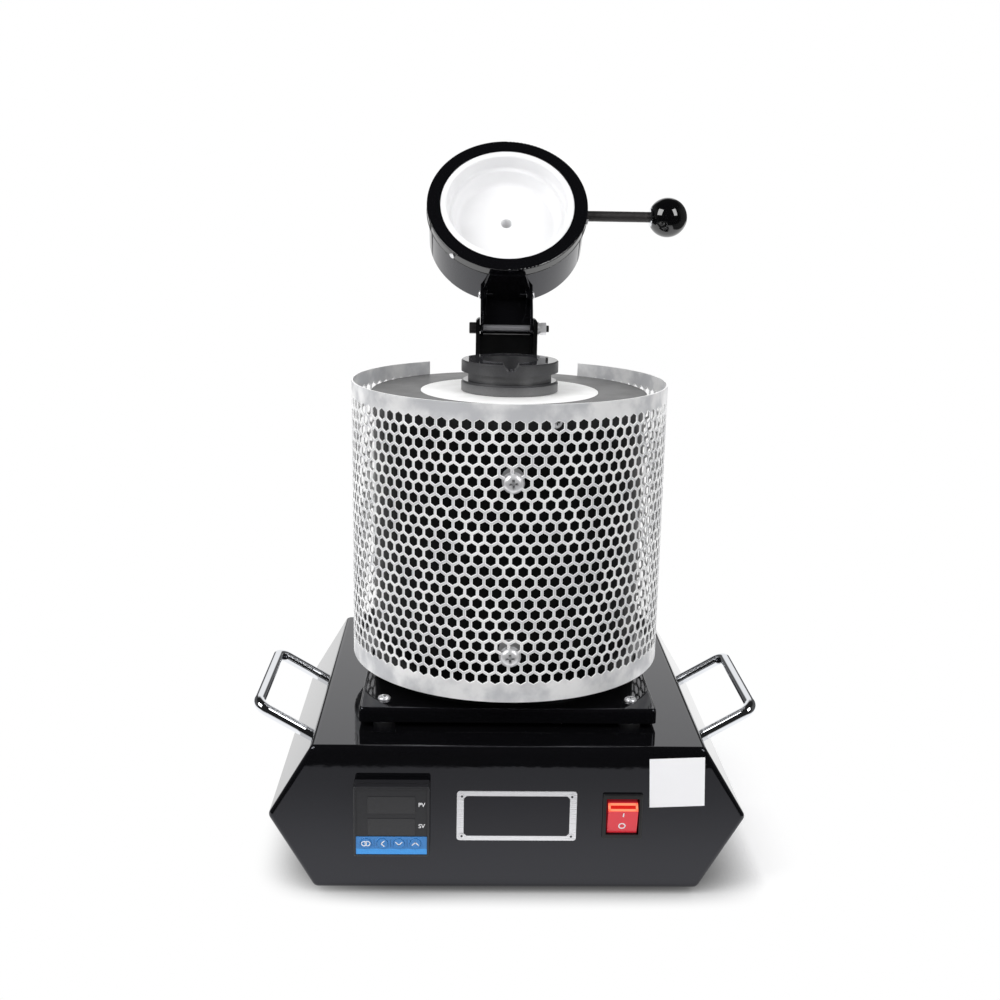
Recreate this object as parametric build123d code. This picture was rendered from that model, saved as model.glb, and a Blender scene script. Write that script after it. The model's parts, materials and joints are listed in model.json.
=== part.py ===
"""Electric gold melting furnace: a bench-top crucible furnace on a control case.

Millimetres. +X is the operator's right, +Y points to the back and +Z is up. It is
drawn round the furnace's axis, over the middle of the case, and then moved so that
the origin is on the bench under the middle of the whole, open lid included. The lid
is drawn closed and then swung open about its hinge, because it rests open against
its stop. Writes one STEP file per sub-part into parts/.
"""

import os
from math import cos, pi, radians, sin, sqrt

from build123d import *

# ---- driving dimensions ------------------------------------------------------

# control case: hexagonal front profile, folded from sheet
case_top_width = 249.0
case_waist_width = 306.0
case_bottom_width = 248.0
case_height = 98.3
case_waist_height = 50.7
case_depth = 253.4
case_sheet = 1.2
case_bend = 3.2
case_corner = 4.5
case_flange = 5.0
case_lip = 14.0
foot_height = 4.0
foot_radius = 11.0
foot_inset = 26.0

# carrying handles on the upper side slopes
handle_bar = 8.0
handle_spacing = 101.0
handle_reach = 37.6
handle_bend = 8.0
handle_drop = 21.5
handle_middle_y = -12.6

# plate that carries the furnace on four spacers
plate_margin = 4.0
plate_rim = 10.0
plate_sheet = 1.5
plate_gap = 3.7
plate_screw_inset = 15.5
spacer_radius = 7.2

# furnace body
shell_radius = 93.0
shell_sheet = 1.2
furnace_height = 194.0
cap_skirt = 12.0
cap_clearance = 0.4
lining_gap = 2.8
base_board = 26.0
ring_radius = 61.0
ring_thickness = 14.0
tube_wall = 5.0
liner_wall = 4.6
liner_clearance = 3.2
coil_wire = 3.0
coil_pitch = 17.0
coil_space = 9.0
bushing_radius = 6.0

# crucible
crucible_rim_radius = 33.2
crucible_neck_radius = 28.6
crucible_body_radius = 27.8
crucible_bore = 38.7
crucible_depth = 118.0
crucible_wall = 12.0
collar_height = 7.2
neck_height = 6.0
rim_height = 7.8
spout_width = 10.5
spout_depth = 4.6

# perforated guard, carried on stand-offs
guard_sheet = 1.0
guard_height = 192.6
guard_lift = 8.8
guard_gap = 113.0
standoff_radius = 7.0
standoff_length = 14.0
guard_screw_low = 39.3
guard_screw_rise = 113.2

# hinge post, arm and bolt
hinge_inset = 2.2
hinge_rise = 33.2
open_angle = 129.3
post_width = 46.0
post_sheet = 3.0
post_reach = 8.0
post_head = 7.6
post_length = 120.0
post_screw_spread = 68.0
arm_sheet = 2.0
arm_side_gap = 0.3
arm_back = 6.0
arm_front = 8.2
bolt_radius = 2.5
bolt_head = 4.25
nut_flats = 8.0

# lid
lid_radius = 61.4
lid_thickness = 44.7
lid_gap = 0.4
lid_sheet = 1.2
lid_ring_width = 10.2
lid_ring_skirt = 8.2
recess_radius = 46.2
recess_step = 12.0
recess_depth = 24.0
recess_floor_radius = 38.5
lid_vent = 8.4
rod_radius = 4.0
rod_rise = 13.1
knob_radius = 15.0
knob_reach = 124.0

# panel controller, 48 x 48 mm panel size
panel_size = 48.0
controller_x = -73.6
controller_z = 51.9
controller_bezel = 10.5
controller_body = 44.6
controller_length = 80.0
key_radius = 3.4
key_pitch = 10.4
key_travel = 0.4

# illuminated rocker switch, 31 x 25.6 mm bezel
switch_x = 73.2
switch_z = 51.8
switch_width = 25.6
switch_height = 31.0
switch_bezel = 2.0
rocker_width = 19.0
rocker_gap = 1.0
rocker_opening = 24.8
rocker_tilt = 14.0
rocker_pivot = 6.0
lens_depth = 0.5
lens_rim = 1.5

# name plate
plate_width = 76.4
plate_height = 34.0
plate_x = 5.6
plate_z = 51.5
plate_thickness = 0.8

# cord gland in the back panel
gland_x = 88.0
gland_z = 40.0
gland_radius = 8.0
gland_bore = 4.0

# screws and the clearances that fits share
m5 = 2.5
m4 = 2.0
hole_clearance = 0.25
fit_clearance = 0.3

# ---- places worked out from them ---------------------------------------------

case_floor = foot_height
case_top = case_floor + case_height
front = -case_depth / 2
panel_back = front + case_sheet
case_screw_y = case_depth / 2 - case_sheet - 0.6 * case_lip
plate_side = 2 * (shell_radius + plate_margin)
plate_screw_spread = plate_side - 2 * plate_screw_inset
rim_low = case_top + plate_gap
plate_top = rim_low + plate_rim
disc_top = plate_top + furnace_height
cap_radius = shell_radius + cap_clearance + shell_sheet
lining_radius = shell_radius - shell_sheet - lining_gap
lining_floor = plate_top + shell_sheet + base_board
ring_bottom = disc_top - ring_thickness
liner_radius = crucible_body_radius + liner_clearance
tube_radius = liner_radius + liner_wall + 2 * fit_clearance
coil_radius = tube_radius + tube_wall + fit_clearance + coil_wire / 2
lead_x = coil_radius + 1.5 * coil_wire
bushing_hole = bushing_radius + fit_clearance
guard_radius = shell_radius + standoff_length + guard_sheet
guard_low = plate_top + guard_lift
crucible_seat = disc_top + fit_clearance
crucible_top = crucible_seat + collar_height + neck_height + rim_height
hinge_y = shell_radius - hinge_inset
hinge_z = disc_top + hinge_rise
post_y = cap_radius + fit_clearance
lid_face = disc_top + lid_gap
lid_top = lid_face + lid_thickness
lid_wall = lid_radius - 1.3
arm_outer = post_width / 2 - post_sheet - arm_side_gap
arm_inner = arm_outer - arm_sheet
bezel_face = front - controller_bezel
screw_end = lining_radius + 0.8

UP = (Align.CENTER, Align.CENTER, Align.MIN)
parts = {}


# ---- helpers -----------------------------------------------------------------


def disc(radius, low, high):
    """Upright cylinder on the furnace axis between two heights."""
    return Pos(0, 0, low) * Cylinder(radius, high - low, align=UP)


def ring(outer, inner, low, high):
    """Upright tube on the furnace axis between two heights."""
    return disc(outer, low, high) - disc(inner, low - 1, high + 1)


def rod_x(radius, start, end, y, z):
    """Round bar along +X from start to end."""
    return Pos(start, y, z) * Rot(Y=90) * Cylinder(radius, end - start, align=UP)


def rod_y(radius, start, end, x, z):
    """Round bar along +Y from start to end."""
    return Pos(x, start, z) * Rot(X=-90) * Cylinder(radius, end - start, align=UP)


def spoke(radius, start, end, angle, height):
    """Round bar pointing out from the furnace axis at an angle and a height."""
    return Pos(0, 0, height) * Rot(Z=angle) * rod_x(radius, start, end, 0, 0)


def block(x0, x1, y0, y1, z0, z1):
    """Box between two corners."""
    middle = Pos((x0 + x1) / 2, (y0 + y1) / 2, (z0 + z1) / 2)
    return middle * Box(x1 - x0, y1 - y0, z1 - z0)


def hex_bar_x(flats, start, end, y, z):
    """Hexagonal bar along +X, measured across its flats."""
    shape = RegularPolygon(flats / 2, 6, major_radius=False)
    return Pos(start, y, z) * Rot(Y=90) * extrude(shape, end - start)


def nut(flats, bore, low, high, x, y):
    """Upright hexagonal nut."""
    shape = RegularPolygon(flats / 2, 6, major_radius=False) - Circle(bore)
    return Pos(x, y, low) * extrude(shape, high - low)


def turned(*points):
    """Solid of revolution about the furnace axis from (radius, height) points."""
    outline = Plane.XZ * make_face(Polyline(*points, close=True))
    return revolve(outline, Axis.Z)


def corners(dx, dy):
    """The four (x, y) places at plus and minus dx and dy."""
    return [(sx * dx, sy * dy) for sx in (-1, 1) for sy in (-1, 1)]


def add(name, *shapes):
    """Keep a sub-part's solids: one, or a group of like ones."""
    parts[name] = [solid for shape in shapes for solid in shape.solids()]


# ---- control case ------------------------------------------------------------


def case_outline():
    """Hexagonal front profile with its folds rounded, drawn in (x, z)."""
    waist = case_floor + case_waist_height
    right = [
        (case_bottom_width / 2, case_floor),
        (case_waist_width / 2, waist),
        (case_top_width / 2, case_top),
    ]
    left = [(-x, z) for x, z in reversed(right)]
    outline = make_face(Polyline(*right, *left, close=True))
    return fillet(outline.vertices(), case_corner)


def case_block(inset):
    """The whole case as one solid with rounded edges, moved in by inset all round."""
    outline = case_outline()
    if inset:
        outline = offset(outline, -inset, kind=Kind.INTERSECTION)
    block_of_case = extrude(Plane.XZ * outline, case_depth / 2 - inset, both=True)
    ends = block_of_case.faces().sort_by(Axis.Y)
    return fillet(ends[0].edges() + ends[-1].edges(), case_bend - inset)


def slope_frame(side):
    """Frame on an upper side slope: x points out of it, z along it downwards."""
    rise = case_height - case_waist_height
    run = (case_waist_width - case_top_width) / 2
    length = sqrt(rise**2 + run**2)
    x = case_top_width / 2 + run * handle_drop / length
    z = case_top - rise * handle_drop / length
    outward = (side * rise / length, 0, run / length)
    return Plane(origin=(side * x, 0, z), x_dir=outward, z_dir=(0, side, 0))


def handle_feet():
    """Y places of the two legs of a handle."""
    return [handle_middle_y + s * handle_spacing / 2 for s in (-1, 1)]


def slope_rod(side, radius, start, end, y):
    """Round bar square to a side slope, at depth y."""
    frame = slope_frame(side)
    base = frame.origin + frame.x_dir * start + Vector(0, y, 0)
    return Plane(base, z_dir=frame.x_dir) * Cylinder(radius, end - start, align=UP)


def make_case():
    half = case_depth / 2
    reach = case_waist_width
    under = case_top - case_sheet
    inner = case_block(case_sheet)
    skin = case_block(0) - inner
    middle = block(-reach, reach, case_flange - half, half - case_flange, 0, under)
    cover = skin - middle
    flange_x = case_bottom_width / 2 - case_lip
    low = case_floor + case_sheet
    for side in (-1, 1):
        y0, y1 = sorted((side * -panel_back, side * (-panel_back - case_lip)))
        cover += block(-flange_x, flange_x, y0, y1, low, low + case_sheet)
    for x, y in corners(flange_x - 10, case_screw_y):
        cover -= Pos(x, y) * disc(m4 + hole_clearance, case_floor, low + 5)

    tray = skin & middle
    lip_x = case_top_width / 2 - case_sheet - case_lip
    tray += (inner & middle) - block(-lip_x, lip_x, -half, half, 0, case_top) - block(
        -reach, reach, -half, half, 0, under - case_sheet
    )
    for x, y in corners(flange_x - 10, case_screw_y):
        tray -= Pos(x, y) * disc(m4 + hole_clearance, 0, low + 1)
    for x, y in corners(case_bottom_width / 2 - foot_inset, half - foot_inset - 6):
        tray -= Pos(x, y) * disc(m4 + hole_clearance, 0, low + 1)
    for row in (-1, 1):
        for n in range(7):
            slot = SlotOverall(34, 4, rotation=90)
            tray -= Pos(12 * (n - 3), row * 34, 0) * extrude(slot, low + 1)
    for side in (-1, 1):
        for y in handle_feet():
            tray -= slope_rod(side, m5 + hole_clearance, -5, 1, y)

    # openings for the controller, the switch, the gland, the leads and the spacers
    cut = controller_body / 2 + fit_clearance
    z = case_floor + controller_z
    x = controller_x
    cover -= block(x - cut, x + cut, front - 1, panel_back + 1, z - cut, z + cut)
    cut_x = switch_width / 2 - 1.2 + fit_clearance
    cut_z = switch_height / 2 - 1.3 + fit_clearance
    z = case_floor + switch_z
    x = switch_x
    cover -= block(x - cut_x, x + cut_x, front - 1, panel_back + 1, z - cut_z, z + cut_z)
    z = case_floor + gland_z
    cover -= rod_y(gland_radius + fit_clearance, half - 3, half + 1, gland_x, z)
    for n in range(9):
        slot = Pos(12 * (n - 4) - 30, 0, 0) * SlotOverall(40, 3.5, rotation=90)
        vent = Pos(0, half + 1, case_floor + 52) * Rot(X=90) * extrude(slot, 4)
        cover -= vent
    for x in (-lead_x, lead_x):
        cover -= Pos(x, 0) * disc(bushing_hole, case_top - 3, case_top + 1)
    for x, y in corners(plate_screw_spread / 2, plate_screw_spread / 2):
        cover -= Pos(x, y) * disc(m5 + hole_clearance, case_top - 3, case_top + 1)
    add("case_cover", cover)
    add("case_tray", tray)


def make_case_fixings():
    half = case_depth / 2
    low = case_floor + case_sheet
    screws = []
    flange_x = case_bottom_width / 2 - case_lip
    for x, y in corners(flange_x - 10, case_screw_y):
        head = disc(3.6, case_floor - 2.0, case_floor)
        screws.append(Pos(x, y) * (head + disc(m4, case_floor, low + 6)))
    add("case_screws", *screws)
    feet, pins = [], []
    for x, y in corners(case_bottom_width / 2 - foot_inset, half - foot_inset - 6):
        pad = disc(foot_radius, 0, foot_height)
        pad = chamfer(pad.edges().group_by(Axis.Z)[0], 0.8)
        pad -= disc(4.6, -1, 2.0) + disc(m4 + hole_clearance, 0, foot_height + 1)
        feet.append(Pos(x, y) * pad)
        pin = disc(3.6, 0.6, 2.0) + disc(m4, 2.0, low + 5)
        pins.append(Pos(x, y) * pin)
        pins.append(nut(7, m4 + 0.1, low, low + 3, x, y))
    add("rubber_feet", *feet)
    add("foot_screws", *pins)


def make_handles():
    y0, y1 = handle_feet()
    bore = m5 + 0.1
    screws = []
    for name, side in (("handle_left", -1), ("handle_right", 1)):
        frame = slope_frame(side)
        ends = [side * y for y in (y0, y1)]
        points = [(0, ends[0]), (handle_reach, ends[0]), (handle_reach, ends[1]), (0, ends[1])]
        local = Plane(frame.origin, x_dir=frame.x_dir, z_dir=(frame.x_dir.Z, 0, -frame.x_dir.X))
        flip = 1 if local.y_dir.Y > 0 else -1
        wire = FilletPolyline(*[(x, side * flip * y) for x, y in points], radius=handle_bend)
        path = local * wire
        section = Plane(path @ 0, z_dir=path % 0) * Circle(handle_bar / 2)
        bar = sweep(section, path)
        for y in (y0, y1):
            bar -= slope_rod(side, bore, -1, 12, y)
            head = slope_rod(side, 4.4, -case_sheet - 2.4, -case_sheet, y)
            screws.append(head + slope_rod(side, m5, -case_sheet, 11, y))
        add(name, bar)
    add("handle_screws", *screws)


# ---- furnace body ------------------------------------------------------------


def make_plate():
    half = plate_side / 2
    pan = block(-half, half, -half, half, rim_low, plate_top)
    pan = fillet(pan.edges().filter_by(Axis.Z), 3.0)
    pan = fillet(pan.faces().sort_by(Axis.Z)[-1].edges(), 1.8)
    inner = half - plate_sheet
    pan -= block(-inner, inner, -inner, inner, rim_low - 1, plate_top - plate_sheet)
    places = corners(plate_screw_spread / 2, plate_screw_spread / 2)
    under = plate_top - plate_sheet
    hole = m5 + hole_clearance
    spacers, screws = [], []
    for x, y in places:
        pan -= Pos(x, y) * disc(hole, rim_low, plate_top + 1)
        spacers.append(Pos(x, y) * ring(spacer_radius, hole, case_top, under))
        screw = disc(4.75, plate_top, plate_top + 2.8)
        screw = fillet(screw.edges().group_by(Axis.Z)[-1], 1.6)
        screw += disc(m5, case_top - case_sheet - 7, plate_top)
        screws.append(Pos(x, y) * screw)
        low = case_top - case_sheet - 4
        screws.append(nut(8, m5 + 0.1, low, low + 4, x, y))
    for x in (-lead_x, lead_x):
        pan -= Pos(x, 0) * disc(bushing_hole, rim_low, plate_top + 1)
    for angle in (60, 180, 300):
        pan -= Rot(Z=angle) * Pos(70, 0) * disc(m4 + hole_clearance, rim_low, plate_top + 1)
    add("furnace_plate", pan)
    add("plate_spacers", *spacers)
    add("plate_screws", *screws)


def guard_places():
    """(angle, height) of each guard screw."""
    low = plate_top + guard_screw_low
    return [(a, z) for a in (-90, 30, 150) for z in (low, low + guard_screw_rise)]


def post_screw_heights():
    return [disc_top - 30, disc_top - 30 - post_screw_spread]


def cap_screw_angles():
    return [-73.8 + 120 * n for n in range(3)]


def make_shell():
    inner = shell_radius - shell_sheet
    under = disc_top - shell_sheet
    shell = disc(shell_radius, plate_top, under)
    shell -= disc(inner, plate_top + shell_sheet, under + 1)
    for angle, z in guard_places():
        shell -= spoke(m5 + hole_clearance, inner - 5, shell_radius + 5, angle, z)
    for z in post_screw_heights():
        shell -= spoke(m5 + hole_clearance, inner - 5, shell_radius + 5, 90, z)
    screw_z = disc_top - cap_skirt / 2
    for angle in cap_screw_angles():
        shell -= spoke(m4 + hole_clearance, inner - 5, shell_radius + 5, angle, screw_z)
    for x in (-lead_x, lead_x):
        shell -= Pos(x, 0) * disc(bushing_hole, plate_top - 1, plate_top + 5)
    feet = []
    for angle in (60, 180, 300):
        turn = Rot(Z=angle) * Pos(70, 0)
        low = plate_top - plate_sheet
        shell -= turn * disc(m4 + hole_clearance, low, plate_top + 5)
        feet.append(turn * (disc(3.6, low - 2, low) + disc(m4, low, plate_top + 6)))
    add("furnace_shell", shell)
    add("shell_screws", *feet)

    cap = disc(cap_radius, disc_top - cap_skirt, disc_top)
    cap = fillet(cap.edges().group_by(Axis.Z)[-1], 1.0)
    cap -= disc(cap_radius - shell_sheet, disc_top - cap_skirt - 1, under)
    cap -= disc(ring_radius + fit_clearance, under - 1, disc_top + 1)
    screws = []
    for angle in cap_screw_angles():
        cap -= spoke(m4 + hole_clearance, inner, cap_radius + 5, angle, screw_z)
        screw = spoke(3.5, cap_radius, cap_radius + 2.0, angle, screw_z)
        screws.append(screw + spoke(m4, screw_end, cap_radius, angle, screw_z))
    add("furnace_cap", cap)
    add("cap_screws", *screws)


def make_lining():
    board = disc(lining_radius, plate_top + shell_sheet, lining_floor)
    for x in (-lead_x, lead_x):
        board -= Pos(x, 0) * disc(coil_wire / 2 + fit_clearance, plate_top, lining_floor + 1)
        board -= Pos(x, 0) * disc(bushing_hole, plate_top, plate_top + 8)
    for angle in (60, 180, 300):
        turn = Rot(Z=angle) * Pos(70, 0)
        board -= turn * disc(m4 + hole_clearance, plate_top, plate_top + 9)
    sleeve_bore = coil_radius + coil_wire / 2 + coil_space
    add("insulation", board, ring(lining_radius, sleeve_bore, lining_floor, ring_bottom))
    tube_outer = tube_radius + tube_wall
    add("heating_tube", ring(tube_outer, tube_radius, lining_floor, ring_bottom))
    wall = liner_radius + liner_wall
    add("graphite_liner", ring(wall, liner_radius, lining_floor, ring_bottom - fit_clearance))
    pedestal = crucible_seat - crucible_depth - crucible_wall - 1.0
    add("pedestal", disc(liner_radius - fit_clearance, lining_floor, pedestal))
    throat = crucible_body_radius + 1.7
    under = disc_top - shell_sheet
    top = disc(lining_radius, ring_bottom, under) + disc(ring_radius, under, disc_top)
    add("ceramic_ring", top - disc(throat, ring_bottom - 1, disc_top + 1))


def make_coil():
    low = lining_floor + 8
    span = ring_bottom - 8 - low
    turns = max(1, round(span / coil_pitch))
    helix = Pos(0, 0, low) * Helix(span / (turns + 0.5), span, coil_radius)
    side = coil_wire * 0.9
    section = Plane(helix @ 0, z_dir=helix % 0) * Rectangle(side, side)
    add("heating_coil", sweep(section, helix, is_frenet=True))
    end = case_top - 26
    bushing_low = case_top - case_sheet - 8
    bushing_high = plate_top + shell_sheet + 6
    leads, bushings = [], []
    for turn, height in ((0, low), (180, low + span)):
        pin = Pos(lead_x) * disc(coil_wire / 2, end, height + coil_wire / 2)
        pin += rod_x(coil_wire / 2, coil_radius + side / 2, lead_x, 0, height)
        leads.append(Rot(Z=turn) * pin)
        bush = disc(bushing_radius, bushing_low, bushing_high)
        bush += disc(bushing_radius + 2, bushing_low, case_top - case_sheet)
        bush -= disc(coil_wire / 2 + fit_clearance, bushing_low - 1, bushing_high + 1)
        bushings.append(Rot(Z=turn) * Pos(lead_x) * bush)
    add("heater_leads", *leads)
    add("lead_bushings", *bushings)


# ---- guard -------------------------------------------------------------------


def make_guard():
    high = guard_low + guard_height
    sheet = ring(guard_radius, guard_radius - guard_sheet, guard_low, high)
    gap = guard_gap / 2
    sheet -= block(-gap, gap, 0, guard_radius + 5, guard_low - 1, high + 1)
    rest = sqrt((guard_radius - guard_sheet) ** 2 - standoff_radius**2)
    posts, screws = [], []
    for angle, z in guard_places():
        hole = spoke(m5 + hole_clearance, shell_radius - 5, guard_radius + 5, angle, z)
        sheet -= hole
        posts.append(spoke(standoff_radius, shell_radius, rest, angle, z) - hole)
        head = spoke(4.3, guard_radius, guard_radius + 2.6, angle, z)
        screws.append(head + spoke(m5, screw_end, guard_radius, angle, z))
    add("guard", sheet)
    add("guard_standoffs", *posts)
    add("guard_screws", *screws)


# ---- hinge -------------------------------------------------------------------


def landing():
    """Where the open arm lands on the post's back plate, along the arm from its pin."""
    swing = radians(open_angle)
    reach = arm_back + fit_clearance
    return (post_y - hinge_y - reach * sin(swing)) / -cos(swing)


def post_web_top():
    """Height at which the open arm lands on the post's back plate."""
    swing = radians(open_angle)
    return hinge_z + (arm_back + fit_clearance) * cos(swing) + landing() * sin(swing)


def make_post():
    half = post_width / 2
    back = post_y + post_sheet
    top = hinge_z + post_head
    web_top = post_web_top()
    channel = block(-half, half, hinge_y - post_reach, back, disc_top, top)
    channel = fillet(channel.edges().filter_by(Axis.Z).group_by(Axis.Y)[-1], 2.0)
    channel = fillet(channel.edges().filter_by(Axis.X).group_by(Axis.Z)[-1], 3.0)
    inside = half - post_sheet
    channel -= block(-inside, inside, hinge_y - 20, post_y, disc_top - 1, top + 1)
    channel -= block(-inside, inside, hinge_y - 20, back + 1, web_top, top + 1)
    low = disc_top - post_length
    strip = block(-half, half, post_y, back, low, disc_top + 4)
    strip = fillet(strip.edges().filter_by(Axis.Y).group_by(Axis.Z)[0], 6.0)
    post = channel + strip
    post -= rod_x(bolt_radius + fit_clearance, -half - 1, half + 1, hinge_y, hinge_z)
    spacers, screws = [], []
    for z in post_screw_heights():
        hole = rod_y(m5 + hole_clearance, shell_radius - 5, back + 5, 0, z)
        post -= hole
        spacers.append(rod_y(6.0, shell_radius, post_y, 0, z) - hole)
        head = rod_y(4.75, back, back + 2.8, 0, z)
        screws.append(head + rod_y(m5, screw_end, back, 0, z))
    add("hinge_post", post)
    add("post_spacers", *spacers)
    add("post_screws", *screws)


def make_hinge_bolt():
    half = post_width / 2
    place = (hinge_y, hinge_z)
    bolt = rod_x(bolt_radius, -half, half + 8.8, *place)
    head = rod_x(bolt_head, -half - 5.0, -half, *place)
    head = chamfer(head.edges().group_by(Axis.X)[0], 0.5)
    head -= hex_bar_x(4.0, -half - 5.5, -half - 2.5, *place)
    add("hinge_bolt", bolt + head)
    bore = rod_x(bolt_radius + 0.1, -half, half + 20, *place)
    flat = rod_x(5.0, half, half + 1.2, *place)
    spring = rod_x(4.3, half + 1.2, half + 2.6, *place)
    add("hinge_washers", flat - bore, spring - bore)
    nut_end = half + 2.6 + 4.2
    hex_nut = hex_bar_x(nut_flats, half + 2.6, nut_end, *place)
    hex_nut &= Pos(half + 2.6, *place) * Rot(Y=90) * Cone(
        nut_flats / 2 + 4.4, nut_flats / 2 + 0.2, 4.2, align=UP
    )
    add("hinge_nut", hex_nut - bore)


# ---- lid, drawn closed -------------------------------------------------------


def swing_open(shape):
    """Move a closed lid piece to its open rest place."""
    pivot = Pos(0, hinge_y, hinge_z)
    return pivot * Rot(X=-open_angle) * pivot.inverse() * shape


def arm_profile():
    """Side view of the arm, in (y, z), from inside the lid to round its pin."""
    y0 = lid_wall - 10
    top = hinge_z + arm_back
    low = hinge_z - arm_front
    knee = hinge_y - arm_back * 1.6
    outline = [(y0, low), (knee, low), (hinge_y, hinge_z - arm_back)]
    edges = Polyline(*outline)
    round_end = ThreePointArc(
        (hinge_y, hinge_z - arm_back), (hinge_y + arm_back, hinge_z), (hinge_y, top)
    )
    rest = Polyline((hinge_y, top), (y0, top), (y0, low))
    return Plane.YZ * make_face(edges + round_end + rest)


def make_arm():
    side = extrude(arm_profile(), arm_outer, both=True)
    under = hinge_z + arm_back - arm_sheet
    y0, y1 = lid_wall - 20, hinge_y + 20
    side -= block(-arm_inner, arm_inner, y0, y1, hinge_z - 30, under)
    web_end = hinge_y - landing()
    side -= block(-arm_inner, arm_inner, web_end, y1, hinge_z, hinge_z + 20)
    side -= disc(lid_wall, lid_face - 1, lid_top + 1)
    side -= rod_x(bolt_radius + fit_clearance, -arm_outer - 1, arm_outer + 1, hinge_y, hinge_z)
    return side


def make_saddle():
    """Curved bracket on the lid's wall with a side tab inside each arm leg."""
    low = lid_face + 5.0
    high = hinge_z + arm_back - arm_sheet - 0.2
    half = arm_inner - 0.1
    wall = ring(lid_wall + 3.2, lid_wall, low, high)
    wide = hinge_z - arm_front
    shape = [(-13.5, low), (13.5, low), (half, wide), (half, high), (-half, high), (-half, wide)]
    front_view = Plane.XZ * make_face(Polyline(*shape, close=True))
    saddle = wall & extrude(front_view, -lid_radius - 20)
    saddle -= disc(lid_radius + 0.1, low - 1, lid_face + lid_ring_skirt + 0.1)
    for side in (-1, 1):
        x0, x1 = sorted((side * half, side * (half - 2.2)))
        tab = block(x0, x1, lid_wall - 8, lid_wall + 8, wide + 1.0, high)
        saddle += tab - disc(lid_wall, wide, high + 1)
    return saddle


def make_lid():
    wall_in = lid_wall - lid_sheet
    ring_top = lid_face + 1.0
    shell = disc(lid_wall, ring_top, lid_top)
    shell = fillet(shell.edges().group_by(Axis.Z)[-1], 2.0)
    shell -= disc(wall_in, ring_top - 1, lid_top - 1.5)
    shell -= disc(lid_vent / 2, lid_top - 5, lid_top + 1)
    rod_z = lid_face + rod_rise
    shell -= rod_x(rod_radius + 0.1, wall_in - 5, lid_wall + 5, 0, rod_z)
    screw_z = lid_face + lid_ring_skirt / 2

    rim = lid_radius - lid_ring_width
    cap = disc(lid_radius, lid_face, lid_face + lid_ring_skirt)
    cap = fillet(cap.edges().group_by(Axis.Z)[0], 0.8)
    cap -= disc(lid_radius - 1.0, ring_top, lid_face + lid_ring_skirt + 1)
    cap -= disc(rim, lid_face - 1, ring_top + 1)
    screws = []
    for angle in (12, 132, 252):
        hole = spoke(1.4, wall_in - 1, lid_radius + 5, angle, screw_z)
        cap -= hole
        shell -= hole
        head = spoke(2.1, lid_radius, lid_radius + 1.2, angle, screw_z)
        screws.append(head + spoke(1.25, wall_in + 0.2, lid_radius, angle, screw_z))

    body = wall_in - 0.2
    high = lid_top - 1.5
    lip = lid_face + 0.3
    insert = turned(
        (lid_vent / 2, lid_face + recess_depth),
        (recess_floor_radius, lid_face + recess_depth),
        (recess_floor_radius + 3.5, lid_face + recess_step),
        (recess_radius - 0.6, lid_face + recess_step),
        (recess_radius, lip),
        (rim - 0.2, lip),
        (rim - 0.2, ring_top),
        (body, ring_top),
        (body, high),
        (lid_vent / 2, high),
    )
    for radius, softness in (
        (recess_floor_radius, 3.0),
        (recess_floor_radius + 3.5, 1.6),
        (recess_radius - 0.6, 1.5),
        (recess_radius, 1.2),
    ):
        step = insert.edges().filter_by(lambda edge: abs(edge.length - 2 * pi * radius) < 0.1)
        insert = fillet(step, softness)

    tab_y = lid_wall + 2.6
    tab_z = hinge_z - 2.7
    arm = make_arm()
    saddle = make_saddle()
    tab_screws = []
    for side in (-1, 1):
        x0, x1 = sorted((side * (arm_inner - 4.5), side * arm_outer))
        shank = rod_x(m4, x0, x1, tab_y, tab_z)
        hole = rod_x(m4 + hole_clearance, x0 - 3, x1 + 3, tab_y, tab_z)
        arm -= hole
        saddle -= hole
        h0, h1 = sorted((side * arm_outer, side * (arm_outer + 1.8)))
        tab_screws.append(shank + rod_x(3.2, h0, h1, tab_y, tab_z))

    knob = Pos(knob_reach, 0, rod_z) * Sphere(knob_radius)
    flat_x = knob_reach - sqrt(knob_radius**2 - 8.0**2)
    knob -= block(0, flat_x, -20, 20, rod_z - 20, rod_z + 20)
    bore = rod_x(rod_radius + 0.1, flat_x - 5, knob_reach - 1, 0, rod_z)
    knob_washer = rod_x(7.0, flat_x - 1.0, flat_x, 0, rod_z) - bore
    bar = rod_x(rod_radius, wall_in - 0.1, knob_reach - 2, 0, rod_z)
    for name, shapes in (
        ("lid_shell", [shell]),
        ("lid_ring", [cap]),
        ("lid_ring_screws", screws),
        ("lid_insert", [insert]),
        ("lid_saddle", [saddle]),
        ("lid_arm", [arm]),
        ("lid_arm_screws", tab_screws),
        ("knob_rod", [bar]),
        ("knob", [knob - bore]),
        ("knob_washer", [knob_washer]),
    ):
        add(name, *[swing_open(shape) for shape in shapes])


# ---- crucible ----------------------------------------------------------------


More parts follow.
